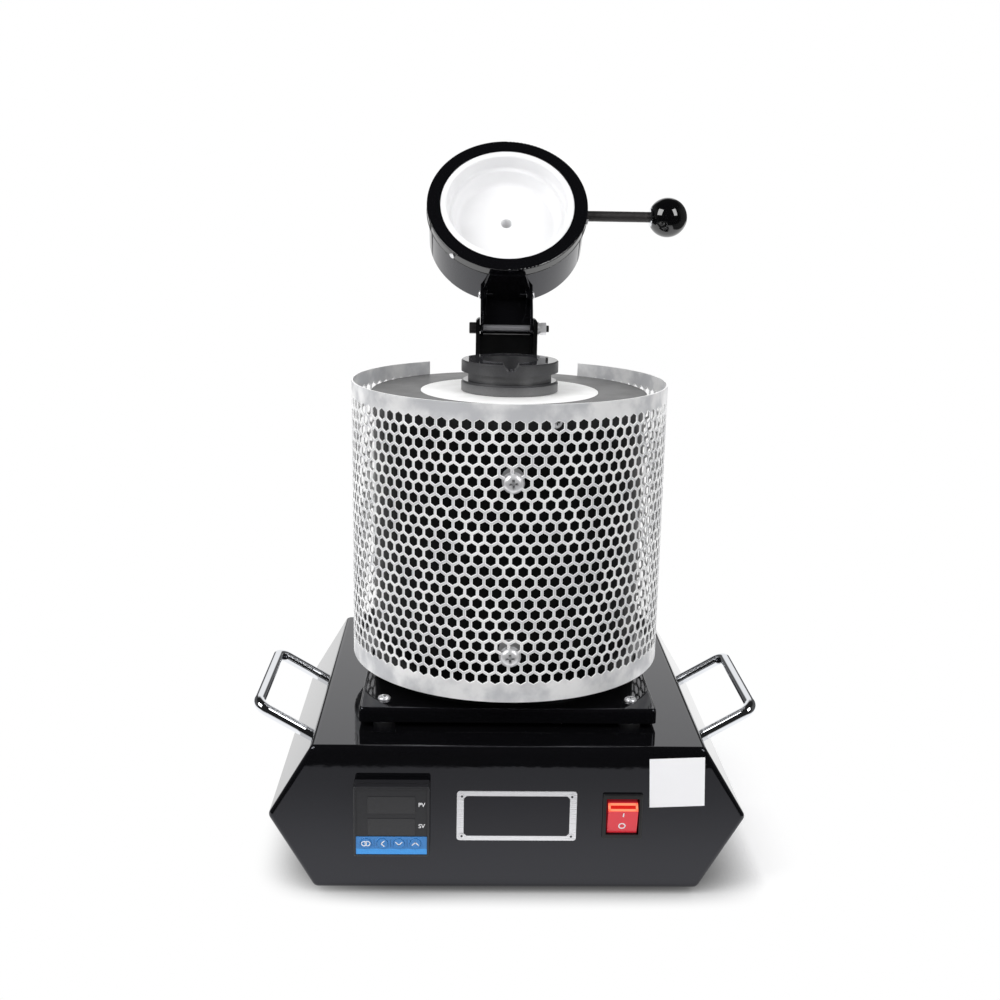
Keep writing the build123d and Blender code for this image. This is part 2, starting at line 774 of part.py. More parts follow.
def make_crucible():
    seat = crucible_seat
    neck_low = seat + collar_height
    neck_high = neck_low + neck_height
    bottom = seat - crucible_depth - crucible_wall
    bore = crucible_bore / 2
    floor = seat - crucible_depth
    cup = turned(
        (0, bottom),
        (crucible_body_radius - 3.0, bottom),
        (crucible_body_radius - 1.5, bottom + 2.0),
        (crucible_body_radius, seat),
        (crucible_rim_radius, seat),
        (crucible_rim_radius, neck_low - 1.2),
        (crucible_rim_radius - 1.2, neck_low),
        (crucible_neck_radius, neck_low),
        (crucible_neck_radius, neck_high),
        (crucible_rim_radius, neck_high),
        (crucible_rim_radius, crucible_top - 0.8),
        (crucible_rim_radius - 0.8, crucible_top),
        (bore, crucible_top),
        (bore - 1.5, floor + 7.0),
        (bore - 7.5, floor),
        (0, floor),
    )
    half = spout_width / 2
    low = crucible_top - spout_depth
    notch = Polyline((-half, crucible_top + 1), (-half, crucible_top), (-half + 1.8, low + 1.4))
    notch += ThreePointArc((-half + 1.8, low + 1.4), (0, low), (half - 1.8, low + 1.4))
    notch += Polyline(
        (half - 1.8, low + 1.4),
        (half, crucible_top),
        (half, crucible_top + 1),
        (-half, crucible_top + 1),
    )
    spout = extrude(Plane.XZ * make_face(notch), crucible_rim_radius + 5)
    add("crucible", cup - spout)


# ---- front panel -------------------------------------------------------------


def key_places():
    """(x, z) of the four keys on the controller."""
    z = case_floor + controller_z + panel_size / 2 - 38.6
    first = controller_x - panel_size / 2 + 7.9
    return [(first + n * key_pitch, z) for n in range(4)]


def make_controller():
    x, z = controller_x, case_floor + controller_z
    half, body = panel_size / 2, controller_body / 2
    bezel = block(x - half, x + half, bezel_face, front, z - half, z + half)
    bezel = fillet(bezel.edges().filter_by(Axis.Y), 1.5)
    bezel = fillet(bezel.faces().sort_by(Axis.Y)[0].edges(), 1.0)
    groove = front - controller_bezel / 2
    core = half - 0.5
    bezel -= block(x - half - 1, x + half + 1, groove, groove + 0.7, z - half - 1, z + half + 1)
    bezel += block(x - core, x + core, groove, groove + 0.7, z - core, z + core)
    back = front + controller_length
    bezel += block(x - body, x + body, front, back, z - body, z + body)
    face = half - 1.6
    pocket = bezel_face + 0.6
    bezel -= block(x - face, x + face, bezel_face - 1, pocket, z - face, z + face)
    left, top = x - half, z + half
    windows = []
    for high, low in ((6.8, 18.2), (21.7, 33.0)):
        pane = (left + 9.0, left + 38.9, pocket - 0.3, pocket, top - low, top - high)
        windows.append(block(*pane))
    overlay = block(x - face, x + face, pocket - 0.4, pocket, top - 46.2, top - 34.1)
    for key_x, key_z in key_places():
        room = key_radius + fit_clearance
        overlay -= rod_y(room, bezel_face - 2, pocket + 1, key_x, key_z)
        bezel -= rod_y(room, bezel_face - 2, pocket + 2.0, key_x, key_z)
    for n in range(6):
        slot_z = z - 17.5 + 7.0 * n
        bezel -= block(x - body - 1, x - body + 6, back - 4, back + 1, slot_z - 2, slot_z + 2)
    add("controller", bezel)
    add("controller_windows", *windows)
    add("controller_overlay", overlay)
    names = ("key_set", "key_shift", "key_down", "key_up")
    for name, (key_x, key_z) in zip(names, key_places(), strict=True):
        start = pocket - 0.4 - key_travel - 0.2
        add(name, rod_y(key_radius, start, pocket + 2.0 - key_travel - fit_clearance, key_x, key_z))
    clip = 26.0
    room = body + 0.2
    frame = block(x - clip, x + clip, panel_back, panel_back + 8, z - clip, z + clip)
    frame = fillet(frame.edges().filter_by(Axis.Y), 2.0)
    frame -= block(x - room, x + room, panel_back - 1, panel_back + 9, z - room, z + room)
    add("controller_clip", frame)


def rocker_outline():
    """Side view of the rocker about its pin, as (outward, up) points, lens end first."""
    lens = [(9.0, 7.7), (5.0, 11.0)]
    return [*lens, (0, 10.8), (-4.5, 6.0), (-4.5, -6.0), (0, -10.8), (8.2, -10.4), (9.0, -9.8)]


def lens_pocket():
    """Side view of the shallow recess in the rocker's lens, as (outward, up) points."""
    (u0, v0), (u1, v1) = rocker_outline()[:2]
    length = sqrt((u1 - u0) ** 2 + (v1 - v0) ** 2)
    along, across = ((u1 - u0) / length, (v1 - v0) / length), ((v1 - v0) / length, (u0 - u1) / length)
    points = []
    for run, deep in (
        (lens_rim, -lens_depth),
        (length - lens_rim, -lens_depth),
        (length - lens_rim, 1),
        (lens_rim, 1),
    ):
        points.append((u0 + along[0] * run + across[0] * deep, v0 + along[1] * run + across[1] * deep))
    return points


def make_switch():
    x, z = switch_x, case_floor + switch_z
    half_w, half_h = switch_width / 2, switch_height / 2
    lip = front - switch_bezel
    bezel = block(x - half_w, x + half_w, lip, front, z - half_h, z + half_h)
    bezel = fillet(bezel.edges().filter_by(Axis.Y), 1.2)
    bezel = fillet(bezel.faces().sort_by(Axis.Y)[0].edges(), 0.8)
    body_w, body_h = half_w - 1.2, half_h - 1.3
    back = front + 24
    bezel += block(x - body_w, x + body_w, front, back, z - body_h, z + body_h)
    open_w, open_h = rocker_width / 2 + rocker_gap, rocker_opening / 2
    floor = back - 3
    bezel -= block(x - open_w, x + open_w, lip - 1, floor, z - open_h, z + open_h)
    pin_y = front + rocker_pivot
    room = open_w + 0.8
    bezel -= rod_x(1.2 + fit_clearance, x - room, x + room, pin_y, z)
    add("switch_frame", bezel)
    tilt = radians(rocker_tilt)

    def tilted(outline, half_width):
        points = []
        for u, v in outline:
            out = u * cos(tilt) + v * sin(tilt)
            up = v * cos(tilt) - u * sin(tilt)
            points.append((pin_y - out, z + up))
        side = Plane.YZ * make_face(Polyline(*points, close=True))
        return Pos(x, 0, 0) * extrude(side, half_width, both=True)

    rocker = tilted(rocker_outline(), rocker_width / 2)
    rocker -= tilted(lens_pocket(), rocker_width / 2 - lens_rim)
    rocker += rod_x(1.2, x - room + 0.2, x + room - 0.2, pin_y, z)
    add("switch_rocker", rocker)


def make_name_plate():
    half_w, half_h = plate_width / 2, plate_height / 2
    z = case_floor + plate_z
    outer = front - plate_thickness
    sheet = block(plate_x - half_w, plate_x + half_w, outer, front, z - half_h, z + half_h)
    sheet = fillet(sheet.edges().filter_by(Axis.Y), 2.0)
    rivets = []
    for dx, dz in corners(half_w - 3.2, half_h - 3.2):
        rivets.append(rod_y(1.6, outer - 0.7, outer, plate_x + dx, z + dz))
    add("name_plate", sheet)
    add("name_plate_rivets", *rivets)


# ---- inside and behind the case ----------------------------------------------


def make_gland():
    z = case_floor + gland_z
    wall = case_depth / 2
    body = rod_y(gland_radius, wall - case_sheet - 9, wall + 4, gland_x, z)
    flange = Rot(X=-90) * extrude(RegularPolygon(10, 6, major_radius=False), 5)
    body += Pos(gland_x, wall, z) * flange
    body -= rod_y(gland_bore, wall - 30, wall + 30, gland_x, z)
    dome = rod_y(9.2, wall + 5, wall + 17, gland_x, z)
    dome = fillet(dome.edges().group_by(Axis.Y)[-1], 3.0)
    dome -= rod_y(gland_bore, wall - 30, wall + 30, gland_x, z)
    lock = Rot(X=-90) * extrude(RegularPolygon(11, 6, major_radius=False), 4)
    lock = Pos(gland_x, wall - case_sheet - 4, z) * lock
    lock -= rod_y(gland_radius + 0.1, wall - 30, wall, gland_x, z)
    add("gland_body", body)
    add("gland_nut", dome)
    add("gland_locknut", lock)


def make_electrics():
    low = case_floor + case_sheet
    base = block(-30, 30, 48, 104, low, low + 6)
    for n in range(9):
        x = -28.5 + 7.125 * n
        base += block(x - 1.0, x + 1.0, 48, 104, low + 6, low + 22)
    base += block(-30, 30, 48, 104, low + 22, low + 26)
    add("heat_sink", base)
    relay = block(-22.5, 22.5, 47, 105, low + 26, low + 50)
    relay = chamfer(relay.edges().group_by(Axis.Z)[-1], 1.5)
    relay -= block(-12, 12, 40, 58, low + 42, low + 60)
    relay -= block(-12, 12, 94, 110, low + 42, low + 60)
    add("solid_state_relay", relay)


def centre_of_footprint():
    """Move that puts the origin under the middle of the whole, front to back."""
    boxes = [solid.bounding_box() for solids in parts.values() for solid in solids]
    nearest = min(box.min.Y for box in boxes)
    farthest = max(box.max.Y for box in boxes)
    return Pos(0, -(nearest + farthest) / 2, 0)


def main():
    make_case()
    make_case_fixings()
    make_handles()
    make_plate()
    make_shell()
    make_lining()
    make_coil()
    make_guard()
    make_post()
    make_hinge_bolt()
    make_lid()
    make_crucible()
    make_controller()
    make_switch()
    make_name_plate()
    make_gland()
    make_electrics()
    place = centre_of_footprint()
    os.makedirs("parts", exist_ok=True)
    for name, solids in parts.items():
        moved = [place * solid for solid in solids]
        shape = moved[0] if len(moved) == 1 else Compound(children=moved)
        export_step(shape, f"parts/{name}.step")


main()
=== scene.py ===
"""Looks, camera and light of a bench-top electric gold melting furnace.

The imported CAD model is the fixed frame. Sections follow the furnace as it is put
together, from the case up to the lid and then the front panel.
"""

import json
from math import atan2, cos, pi, radians, sin, tau

import bmesh
import bpy
from mathutils import Matrix, Vector


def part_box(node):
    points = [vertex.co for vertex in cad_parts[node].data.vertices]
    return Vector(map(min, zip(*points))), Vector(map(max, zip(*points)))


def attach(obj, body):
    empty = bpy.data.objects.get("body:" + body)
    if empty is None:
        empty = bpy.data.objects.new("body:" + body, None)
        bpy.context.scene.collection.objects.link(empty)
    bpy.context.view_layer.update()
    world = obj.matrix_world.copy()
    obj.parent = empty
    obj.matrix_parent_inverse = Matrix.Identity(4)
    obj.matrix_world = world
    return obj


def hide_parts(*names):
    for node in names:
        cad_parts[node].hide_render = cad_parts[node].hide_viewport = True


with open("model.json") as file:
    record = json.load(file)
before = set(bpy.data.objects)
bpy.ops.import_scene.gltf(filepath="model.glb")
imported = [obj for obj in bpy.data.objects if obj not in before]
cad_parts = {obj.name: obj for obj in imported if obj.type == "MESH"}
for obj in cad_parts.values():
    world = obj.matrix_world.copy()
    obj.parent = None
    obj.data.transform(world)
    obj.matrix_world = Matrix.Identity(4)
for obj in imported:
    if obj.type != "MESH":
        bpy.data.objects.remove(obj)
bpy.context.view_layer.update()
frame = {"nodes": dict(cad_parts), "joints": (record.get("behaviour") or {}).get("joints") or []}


# ---- camera ------------------------------------------------------------------
# A short telephoto on a tripod in front of the furnace, a little above the lid's
# hinge and looking down on the case. It is level but for one degree of roll.

CAMERA_PLACE = (-0.02933, -0.8935257, 0.43926)
YAW, PITCH, ROLL = 0.028, 0.235, 0.018  # radians
FOCAL_LENGTH, SENSOR_WIDTH = 45.58, 36.0  # millimetres

lens = bpy.data.cameras.new("camera")
lens.lens, lens.sensor_width = FOCAL_LENGTH, SENSOR_WIDTH
camera = bpy.data.objects.new("camera", lens)
turn = Matrix.Rotation(-YAW, 4, "Z") @ Matrix.Rotation(pi / 2 - PITCH, 4, "X")
turn = turn @ Matrix.Rotation(ROLL, 4, "Z")
camera.matrix_world = Matrix.Translation(CAMERA_PLACE) @ turn
bpy.context.scene.collection.objects.link(camera)
bpy.context.scene.camera = camera


# ---- table, backdrop and lamps -----------------------------------------------
# A white paper sweep between tall soft boxes. The paper ends a hand's width in front of
# the case, so black gloss mirrors the dark room above that edge and stays deep.


def add_node(tree, kind, inputs=(), **settings):
    """Adds one node: its settings, then a value, a node or an output for each socket."""
    made = tree.nodes.new("ShaderNode" + kind)
    for name, value in settings.items():
        setattr(made, name, value)
    for socket, value in inputs.items() if isinstance(inputs, dict) else enumerate(inputs):
        if isinstance(value, bpy.types.Node):
            value = value.outputs[0]
        if isinstance(value, bpy.types.NodeSocket):
            tree.links.new(value, made.inputs[socket])
        else:
            made.inputs[socket].default_value = value
    return made


def from_hex(code):
    """sRGB hex colour as the linear values that shaders read."""
    channels = [int(code[place : place + 2], 16) / 255 for place in (1, 3, 5)]
    linear = [c / 12.92 if c <= 0.04045 else ((c + 0.055) / 1.055) ** 2.4 for c in channels]
    return (*linear, 1.0)


SMOOTH = {"interpolation_type": "SMOOTHSTEP"}

LIGHT_FRONT, LIGHT_BACK = 0.50, 0.40  # what dull surfaces receive from the two sides
DARK_ROOM, GREY_SIDES = 0.02, 0.10  # what shiny ones mirror of the room beside the paper
# Where each changes, as parts of a unit view direction: X aside, Y away, Z up.
SIDES_TURN = (-0.45, -0.05)
BACKDROP_EDGE, BACKDROP_TURN = (0.27, 0.36), (0.45, 0.65)
CEILING_TURN = (0.45, 0.75)
LIGHT_TURN = (-0.8, 0.6)

world = bpy.data.worlds.new("room")
world.use_nodes = True
bpy.context.scene.world = world
room = world.node_tree
direction = add_node(room, "TexCoord").outputs["Generated"]
away = add_node(room, "SeparateXYZ", [direction]).outputs
sides = add_node(room, "MapRange", [away["Y"], *SIDES_TURN, DARK_ROOM, GREY_SIDES], **SMOOTH)
aside = add_node(room, "Math", [away["X"]], operation="ABSOLUTE")
middle = add_node(room, "MapRange", [aside, *BACKDROP_EDGE, 1.0, 0.0], **SMOOTH)
behind = add_node(room, "MapRange", [away["Y"], *BACKDROP_TURN], **SMOOTH)
behind = add_node(room, "Math", [middle, behind], operation="MULTIPLY")
mirrored = add_node(room, "Mix", {0: behind, 2: sides, 3: 1.0})
ceiling = add_node(room, "MapRange", [away["Z"], *CEILING_TURN], **SMOOTH)
mirrored = add_node(room, "Mix", {0: ceiling, 2: mirrored, 3: DARK_ROOM})
ray = add_node(room, "LightPath").outputs
soft = add_node(room, "MapRange", [away["Y"], *LIGHT_TURN, LIGHT_FRONT, LIGHT_BACK], **SMOOTH)
level = add_node(room, "Mix", {0: ray["Is Glossy Ray"], 2: soft, 3: mirrored})
seen = add_node(room, "Math", [ray["Is Camera Ray"], ray["Is Transmission Ray"]],
                operation="MAXIMUM")
level = add_node(room, "Mix", {0: seen, 2: level, 3: 1.0})
background = room.nodes["Background"]
background.inputs["Color"].default_value = from_hex("#ffffff")
room.links.new(level.outputs[0], background.inputs["Strength"])

FLOOR_SIDE = 6.0
bm = bmesh.new()
bmesh.ops.create_grid(bm, x_segments=1, y_segments=1, size=FLOOR_SIDE / 2)
floor_mesh = bpy.data.meshes.new("floor")
bm.to_mesh(floor_mesh)
bm.free()
floor = bpy.data.objects.new("floor", floor_mesh)
bpy.context.scene.collection.objects.link(floor)

# Where the paper ends, as shiny surfaces see it. It is wider behind the furnace.
PAPER_FRONT, PAPER_SIDE, PAPER_MIDDLE, PAPER_SPREAD = -0.34, 0.44, -0.11, 0.9
FRONT_BLUR, SIDE_BLUR = 0.004, 0.05
# Shiny surfaces see it dim at its front end and bright from PAPER_LIT on.
PAPER_LIT, DIM_PAPER, LIT_PAPER = -0.17, 0.55, 1.1
PAPER_COLOUR, PAPER_GLOW = "#ececed", 0.30

# The shadow under the case: a rounded rectangle, outside which the paper stays white.
CASE_MIDDLE = (0.020, -0.0286)
SHADOW_REACH = (0.192, 0.147)  # to the sides and to the front and back
SHADOW_CORNERS = 6.0  # power that makes an ellipse nearly a rectangle
SHADOW_FADE = (0.12, 1.0)
PAINTED_SHADE_REACH, PAINTED_SHADE_POWER = 0.045, 1.5

paper = bpy.data.materials.new("white_paper_sweep")  # even white that still takes a shadow
paper.use_nodes = True
sheet = paper.node_tree
sheet.nodes.clear()
where = add_node(sheet, "TexCoord").outputs["Object"]
spot = add_node(sheet, "SeparateXYZ", [where]).outputs
ray = add_node(sheet, "LightPath").outputs
viewed = add_node(sheet, "Math", [ray["Is Camera Ray"], ray["Is Transmission Ray"]],
                  operation="MAXIMUM")
shown = add_node(sheet, "Math", [viewed, ray["Is Glossy Ray"]], operation="MAXIMUM")

offset = [-middle / reach for middle, reach in zip(CASE_MIDDLE, SHADOW_REACH)]
share = [1 / reach for reach in SHADOW_REACH]
around = add_node(sheet, "Mapping", {"Vector": where, "Location": (*offset, 0),
                                     "Scale": (*share, 0)})
around = add_node(sheet, "SeparateXYZ", [around]).outputs
steep = []
for axis in "XY":
    outwards = add_node(sheet, "Math", [around[axis]], operation="ABSOLUTE")
    steep.append(add_node(sheet, "Math", [outwards, SHADOW_CORNERS], operation="POWER"))
reach = add_node(sheet, "Math", steep, operation="ADD")
fade = add_node(sheet, "MapRange", [reach, *SHADOW_FADE], **SMOOTH)
fade = add_node(sheet, "Math", [fade, shown], operation="MULTIPLY")

aside = add_node(sheet, "Math", [spot["X"], PAPER_MIDDLE], operation="SUBTRACT")
aside = add_node(sheet, "Math", [aside], operation="ABSOLUTE")
spread = add_node(sheet, "Math", [spot["Y"], 0.0], operation="MAXIMUM")
spread = add_node(sheet, "Math", [spread, PAPER_SPREAD], operation="MULTIPLY")
beside = add_node(sheet, "Math", [aside, spread], operation="SUBTRACT")
beside = add_node(sheet, "MapRange", [beside, PAPER_SIDE, PAPER_SIDE + SIDE_BLUR, 1.0, GREY_SIDES],
                  **SMOOTH)
falling = add_node(sheet, "MapRange", [spot["Y"], PAPER_FRONT, PAPER_LIT, DIM_PAPER, LIT_PAPER],
                   **SMOOTH)
lit = add_node(sheet, "Math", [beside, falling], operation="MULTIPLY")
on_paper = add_node(sheet, "MapRange", [spot["Y"], PAPER_FRONT - FRONT_BLUR, PAPER_FRONT],
                    **SMOOTH)
mirrored = add_node(sheet, "Mix", {0: on_paper, 2: DARK_ROOM, 3: lit})
far_level = add_node(sheet, "Mix", {0: viewed, 2: mirrored, 3: 1.0})

# Painted contact shadow: ambient occlusion darkens the paper's colour and dims its glow near the
# case.
painted_contact_shadow = add_node(sheet, "AmbientOcclusion", {"Distance": PAINTED_SHADE_REACH}, samples=8)
painted_contact_shadow = add_node(sheet, "Math", [painted_contact_shadow.outputs["AO"], PAINTED_SHADE_POWER], operation="POWER")
shade = add_node(sheet, "Mix", {0: painted_contact_shadow, 6: from_hex("#000000"), 7: from_hex(PAPER_COLOUR)},
                 data_type="RGBA").outputs[2]
matt = add_node(sheet, "BsdfDiffuse", {"Color": shade})
lift = add_node(sheet, "Math", [shown, painted_contact_shadow], operation="MULTIPLY")
lift = add_node(sheet, "Math", [lift, PAPER_GLOW], operation="MULTIPLY")
glow = add_node(sheet, "Emission", {"Strength": lift})
near = add_node(sheet, "AddShader", [matt, glow])
far = add_node(sheet, "Emission", {"Strength": far_level})
paper_shader = add_node(sheet, "MixShader", [fade, near, far])
add_node(sheet, "OutputMaterial", {"Surface": paper_shader})
floor_mesh.materials.append(paper)

LAMPS_AIM = Vector((0, 0, 0.2))
LAMPS = {  # name: (place, width, height, watts)
    "soft_box_left": ((-1.10, -0.66, 1.20), 0.85, 0.95, 13.5),
    "soft_box_right": ((1.04, -0.98, 1.22), 0.60, 1.05, 10.5),
    "soft_box_back": ((0.0, 0.9, 1.5), 1.2, 0.6, 9.0),
}
for name, (place, width, height, watts) in LAMPS.items():
    lamp = bpy.data.lights.new(name, "AREA")
    lamp.shape, lamp.size, lamp.size_y, lamp.energy = "RECTANGLE", width, height, watts
    holder = bpy.data.objects.new(name, lamp)
    facing = (LAMPS_AIM - Vector(place)).to_track_quat("-Z", "Y").to_matrix().to_4x4()
    holder.matrix_world = Matrix.Translation(place) @ facing
    holder.visible_glossy = name != "soft_box_back"  # it only rims, and is never mirrored
    bpy.context.scene.collection.objects.link(holder)
bpy.context.scene.view_settings.view_transform = "Standard"


# ---- control case and the other black sheet-metal pieces ---------------------
# Folded mild steel sheet: a cover with the front, top and back, and a tray with the
# sides and floor. Both are powder-coated in gloss black and screwed together below.

MM = 0.001


def surface(name, colour, roughness, **more):
    """A new material: its name, its node tree and its Principled shader."""
    material = bpy.data.materials.new(name)
    material.use_nodes = True
    tree = material.node_tree
    shader = tree.nodes["Principled BSDF"]
    shader.inputs["Base Color"].default_value = from_hex(colour)
    shader.inputs["Roughness"].default_value = roughness
    for socket, value in more.items():
        shader.inputs[socket.replace("_", " ")].default_value = value
    return material, tree, shader


def grain(tree, size_mm, detail):
    """Noise on the piece's own coordinates with features of a real size.

    Grits and moulded textures finer than 0.2 mm are drawn at that size or coarser, or
    they would not show.
    """
    where = add_node(tree, "TexCoord").outputs["Object"]
    sockets = {"Vector": where, "Scale": 1 / (size_mm * MM), "Detail": detail}
    return add_node(tree, "TexNoise", sockets).outputs["Fac"]


def relief(tree, shader, height, depth_mm, edge_mm=0.0):
    """Bump of a real depth on the shader, over edges rounded by edge_mm."""
    sockets = {"Height": height, "Distance": depth_mm * MM}
    if edge_mm:
        sockets["Normal"] = add_node(tree, "Bevel", {"Radius": edge_mm * MM}, samples=4)
    tree.links.new(add_node(tree, "Bump", sockets).outputs[0], shader.inputs["Normal"])


def vary(tree, shader, socket, pattern, low, high, start=0.3, end=0.7):
    """Roughness or another number that follows a pattern between two values."""
    value = add_node(tree, "MapRange", [pattern, start, end, low, high], **SMOOTH)
    tree.links.new(value.outputs[0], shader.inputs[socket])


def tint(tree, shader, pattern, first, second, start=0.3, end=0.7):
    """Base colour that goes from one hex colour to another with a pattern."""
    share = add_node(tree, "MapRange", [pattern, start, end], **SMOOTH)
    sockets = {0: share, 6: from_hex(first), 7: from_hex(second)}
    mixed = add_node(tree, "Mix", sockets, data_type="RGBA").outputs[2]
    tree.links.new(mixed, shader.inputs["Base Color"])


def coat(names, material):
    """Gives CAD nodes a material."""
    for name in names:
        for place in frame["nodes"][name].material_slots:
            place.material = material


# Wet-looking black with the slow ripple of baked enamel, about 3 mm from crest to crest.
powder, tree, shader = surface("gloss_black_baked_enamel", "#0b0b0d", 0.03, IOR=1.56,
                               Specular_Tint=from_hex("#f3f4ff"))
SAG_SHARE = 2.5  # the long waves against the short ones
sag = add_node(tree, "Math", [grain(tree, 13.0, 1.0), SAG_SHARE], operation="MULTIPLY")
ripple = add_node(tree, "Math", [grain(tree, 3.0, 1.0), sag], operation="ADD")
relief(tree, shader, ripple, 0.008, 0.4)
vary(tree, shader, "Roughness", grain(tree, 35, 3.0), 0.02, 0.05)
coat(["case_cover", "case_tray"], powder)

# Moulded natural rubber, dull and slightly grey from handling.
rubber, tree, shader = surface("moulded_black_rubber", "#161616", 0.75)
relief(tree, shader, grain(tree, 0.4, 3.0), 0.03, 0.3)
coat(["rubber_feet"], rubber)

# Zinc plate on small steel screws: pale and satin, so the heads read as light domes.
zinc, tree, shader = surface("bright_zinc_plated_steel", "#fafafc", 0.36, Metallic=0.65)
relief(tree, shader, grain(tree, 0.6, 1.0), 0.002, 0.15)
vary(tree, shader, "Roughness", grain(tree, 2.5, 1.0), 0.3, 0.4)
# Painted shade: ambient occlusion darkens the base colour nearly to black in hollows such as the
# cross recesses.
PAINTED_HOLLOW_SHADE_DEPTH = 1.5 * MM  # hollows this deep go dark
painted_hollow_shade = add_node(tree, "AmbientOcclusion", {"Distance": PAINTED_HOLLOW_SHADE_DEPTH}, samples=8).outputs["AO"]
tint(tree, shader, painted_hollow_shade, "#101010", "#fafafc", 0.3, 0.75)
coat(["case_screws", "foot_screws"], zinc)


# ---- carrying handles --------------------------------------------------------
# Round steel bar bent to a bow, polished and chrome-plated, one on each upper side
# slope. Screws from inside the case hold the two legs.

# Decorative chrome: a near-perfect mirror that shows hard black and white bands.
chrome, tree, shader = surface("polished_chrome_plate", "#e4e6ea", 0.035, Metallic=1.0)
relief(tree, shader, grain(tree, 9, 1.0), 0.003)
coat(["handle_left", "handle_right"], chrome)
coat(["handle_screws"], zinc)


# ---- furnace plate and its screws --------------------------------------------
# A shallow black pan on four round spacers keeps the heat off the case. Pan-head
# screws with a cross recess go through pan, spacer and case top into nuts.


DOUBLES = 0.002 * MM


def mesh_of(bm, name):
    """Mesh from a bmesh whose doubles are merged and whose faces point outwards."""
    bmesh.ops.remove_doubles(bm, verts=bm.verts, dist=DOUBLES)
    bmesh.ops.recalc_face_normals(bm, faces=bm.faces)
    mesh = bpy.data.meshes.new(name)
    bm.to_mesh(mesh)
    bm.free()
    return mesh


def turned_mesh(name, outline, steps=32):
    """Mesh spun about Z from (radius, height) points in millimetres."""
    bm = bmesh.new()
    chain = [bm.verts.new((r * MM, 0, z * MM)) for r, z in outline]
    edges = [bm.edges.new(pair) for pair in zip(chain, chain[1:])]
    bmesh.ops.spin(bm, geom=chain + edges, cent=(0, 0, 0), axis=(0, 0, 1), angle=tau,
                   steps=steps, use_merge=True)
    return mesh_of(bm, name)


def carved(body, cutter):
    """Mesh of the first with the second cut out of it."""
    holders = [bpy.data.objects.new("holder", mesh) for mesh in (body, cutter)]
    for holder in holders:
        bpy.context.scene.collection.objects.link(holder)
    cut = holders[0].modifiers.new("cut", "BOOLEAN")
    cut.object, cut.operation, cut.solver, cut.use_self = holders[1], "DIFFERENCE", "EXACT", True
    depsgraph = bpy.context.evaluated_depsgraph_get()
    result = bpy.data.meshes.new_from_object(holders[0].evaluated_get(depsgraph))
    for holder in holders:
        bpy.data.objects.remove(holder)
    return result


def screw_mesh(name, head, height, shank, length):
    """Cross-recess pan-head screw on Z = 0, its shank going down: radii and lengths in mm."""
    outline = [(0, height), (head * 0.45, height * 0.97), (head * 0.75, height * 0.82)]
    outline += [(head * 0.93, height * 0.55), (head, height * 0.25), (head, 0)]
    outline += [(shank, 0), (shank, -length + 0.5), (shank - 0.5, -length), (0, -length)]
    body = turned_mesh(name, outline)
    bm = bmesh.new()
    for across in (0, pi / 2):
        arm = bmesh.ops.create_cube(bm, size=1)["verts"]
        bmesh.ops.scale(bm, verts=arm, vec=(head * 1.55 * MM, head * 0.28 * MM, height * 1.3 * MM))
        low = [v for v in arm if v.co.z < 0]
        bmesh.ops.scale(bm, verts=low, vec=(0.4, 0.8, 1))
        bmesh.ops.rotate(bm, verts=arm, matrix=Matrix.Rotation(across, 3, "Z"))
        bmesh.ops.translate(bm, verts=arm, vec=(0, 0, height * MM))
    recess = bpy.data.meshes.new("recess")
    bm.to_mesh(recess)
    bm.free()
    return carved(body, recess)


def aimed(place, outwards, twist=0.0):
    """Matrix that stands a mesh on a place with its Z axis pointing outwards."""
    lean = Vector((0, 0, 1)).rotation_difference(Vector(outwards)).to_matrix().to_4x4()
    return Matrix.Translation(place) @ lean @ Matrix.Rotation(twist, 4, "Z")


def gathered(name, parts, material, body, smooth_angle=35):
    """One piece from (mesh, matrix) parts, with its material, riding on a CAD body."""
    bm = bmesh.new()
    for mesh, matrix in parts:
        copy = mesh.copy()
        copy.transform(matrix)
        bm.from_mesh(copy)
        bpy.data.meshes.remove(copy)
    mesh = bpy.data.meshes.new(name)
    bm.to_mesh(mesh)
    bm.free()
    mesh.materials.clear()
    mesh.materials.append(material)
    for face in mesh.polygons:
        face.use_smooth = True
        face.material_index = 0
    mesh.set_sharp_from_angle(angle=radians(smooth_angle))
    piece = bpy.data.objects.new(name, mesh)
    bpy.context.scene.collection.objects.link(piece)
    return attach(piece, body)


coat(["furnace_plate"], powder)

cap_low, cap_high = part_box("furnace_cap")
AXIS_Y = (cap_low.y + cap_high.y) / 2  # the furnace's upright axis
PLATE_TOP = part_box("furnace_plate")[1].z
CASE_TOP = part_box("case_cover")[1].z
PLATE_SCREW_SPREAD = 81.5 * MM
NUT_CORNERS, NUT_HEIGHT = 4.6 * MM, 4.0 * MM
NUT_BELOW = 3.2 * MM  # from the case's top to the nut's middle

machine_screw = screw_mesh("m5_pan_head", head=4.2, height=2.2, shank=2.5, length=20.9)
bm = bmesh.new()
bmesh.ops.create_cone(bm, cap_ends=True, segments=6, radius1=NUT_CORNERS, radius2=NUT_CORNERS,
                      depth=NUT_HEIGHT)
hex_nut = mesh_of(bm, "m5_nut")
parts = []
for count, (side, end) in enumerate([(-1, -1), (1, -1), (-1, 1), (1, 1)]):
    place = Vector((side * PLATE_SCREW_SPREAD, AXIS_Y + end * PLATE_SCREW_SPREAD, PLATE_TOP))
    parts.append((machine_screw, aimed(place, (0, 0, 1), 0.5 + count)))
    place.z = CASE_TOP - NUT_BELOW
    parts.append((hex_nut, aimed(place, (0, 0, 1))))
plate_screws = gathered("plate_screws_cross_recess", parts, zinc, "base")
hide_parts("plate_screws")

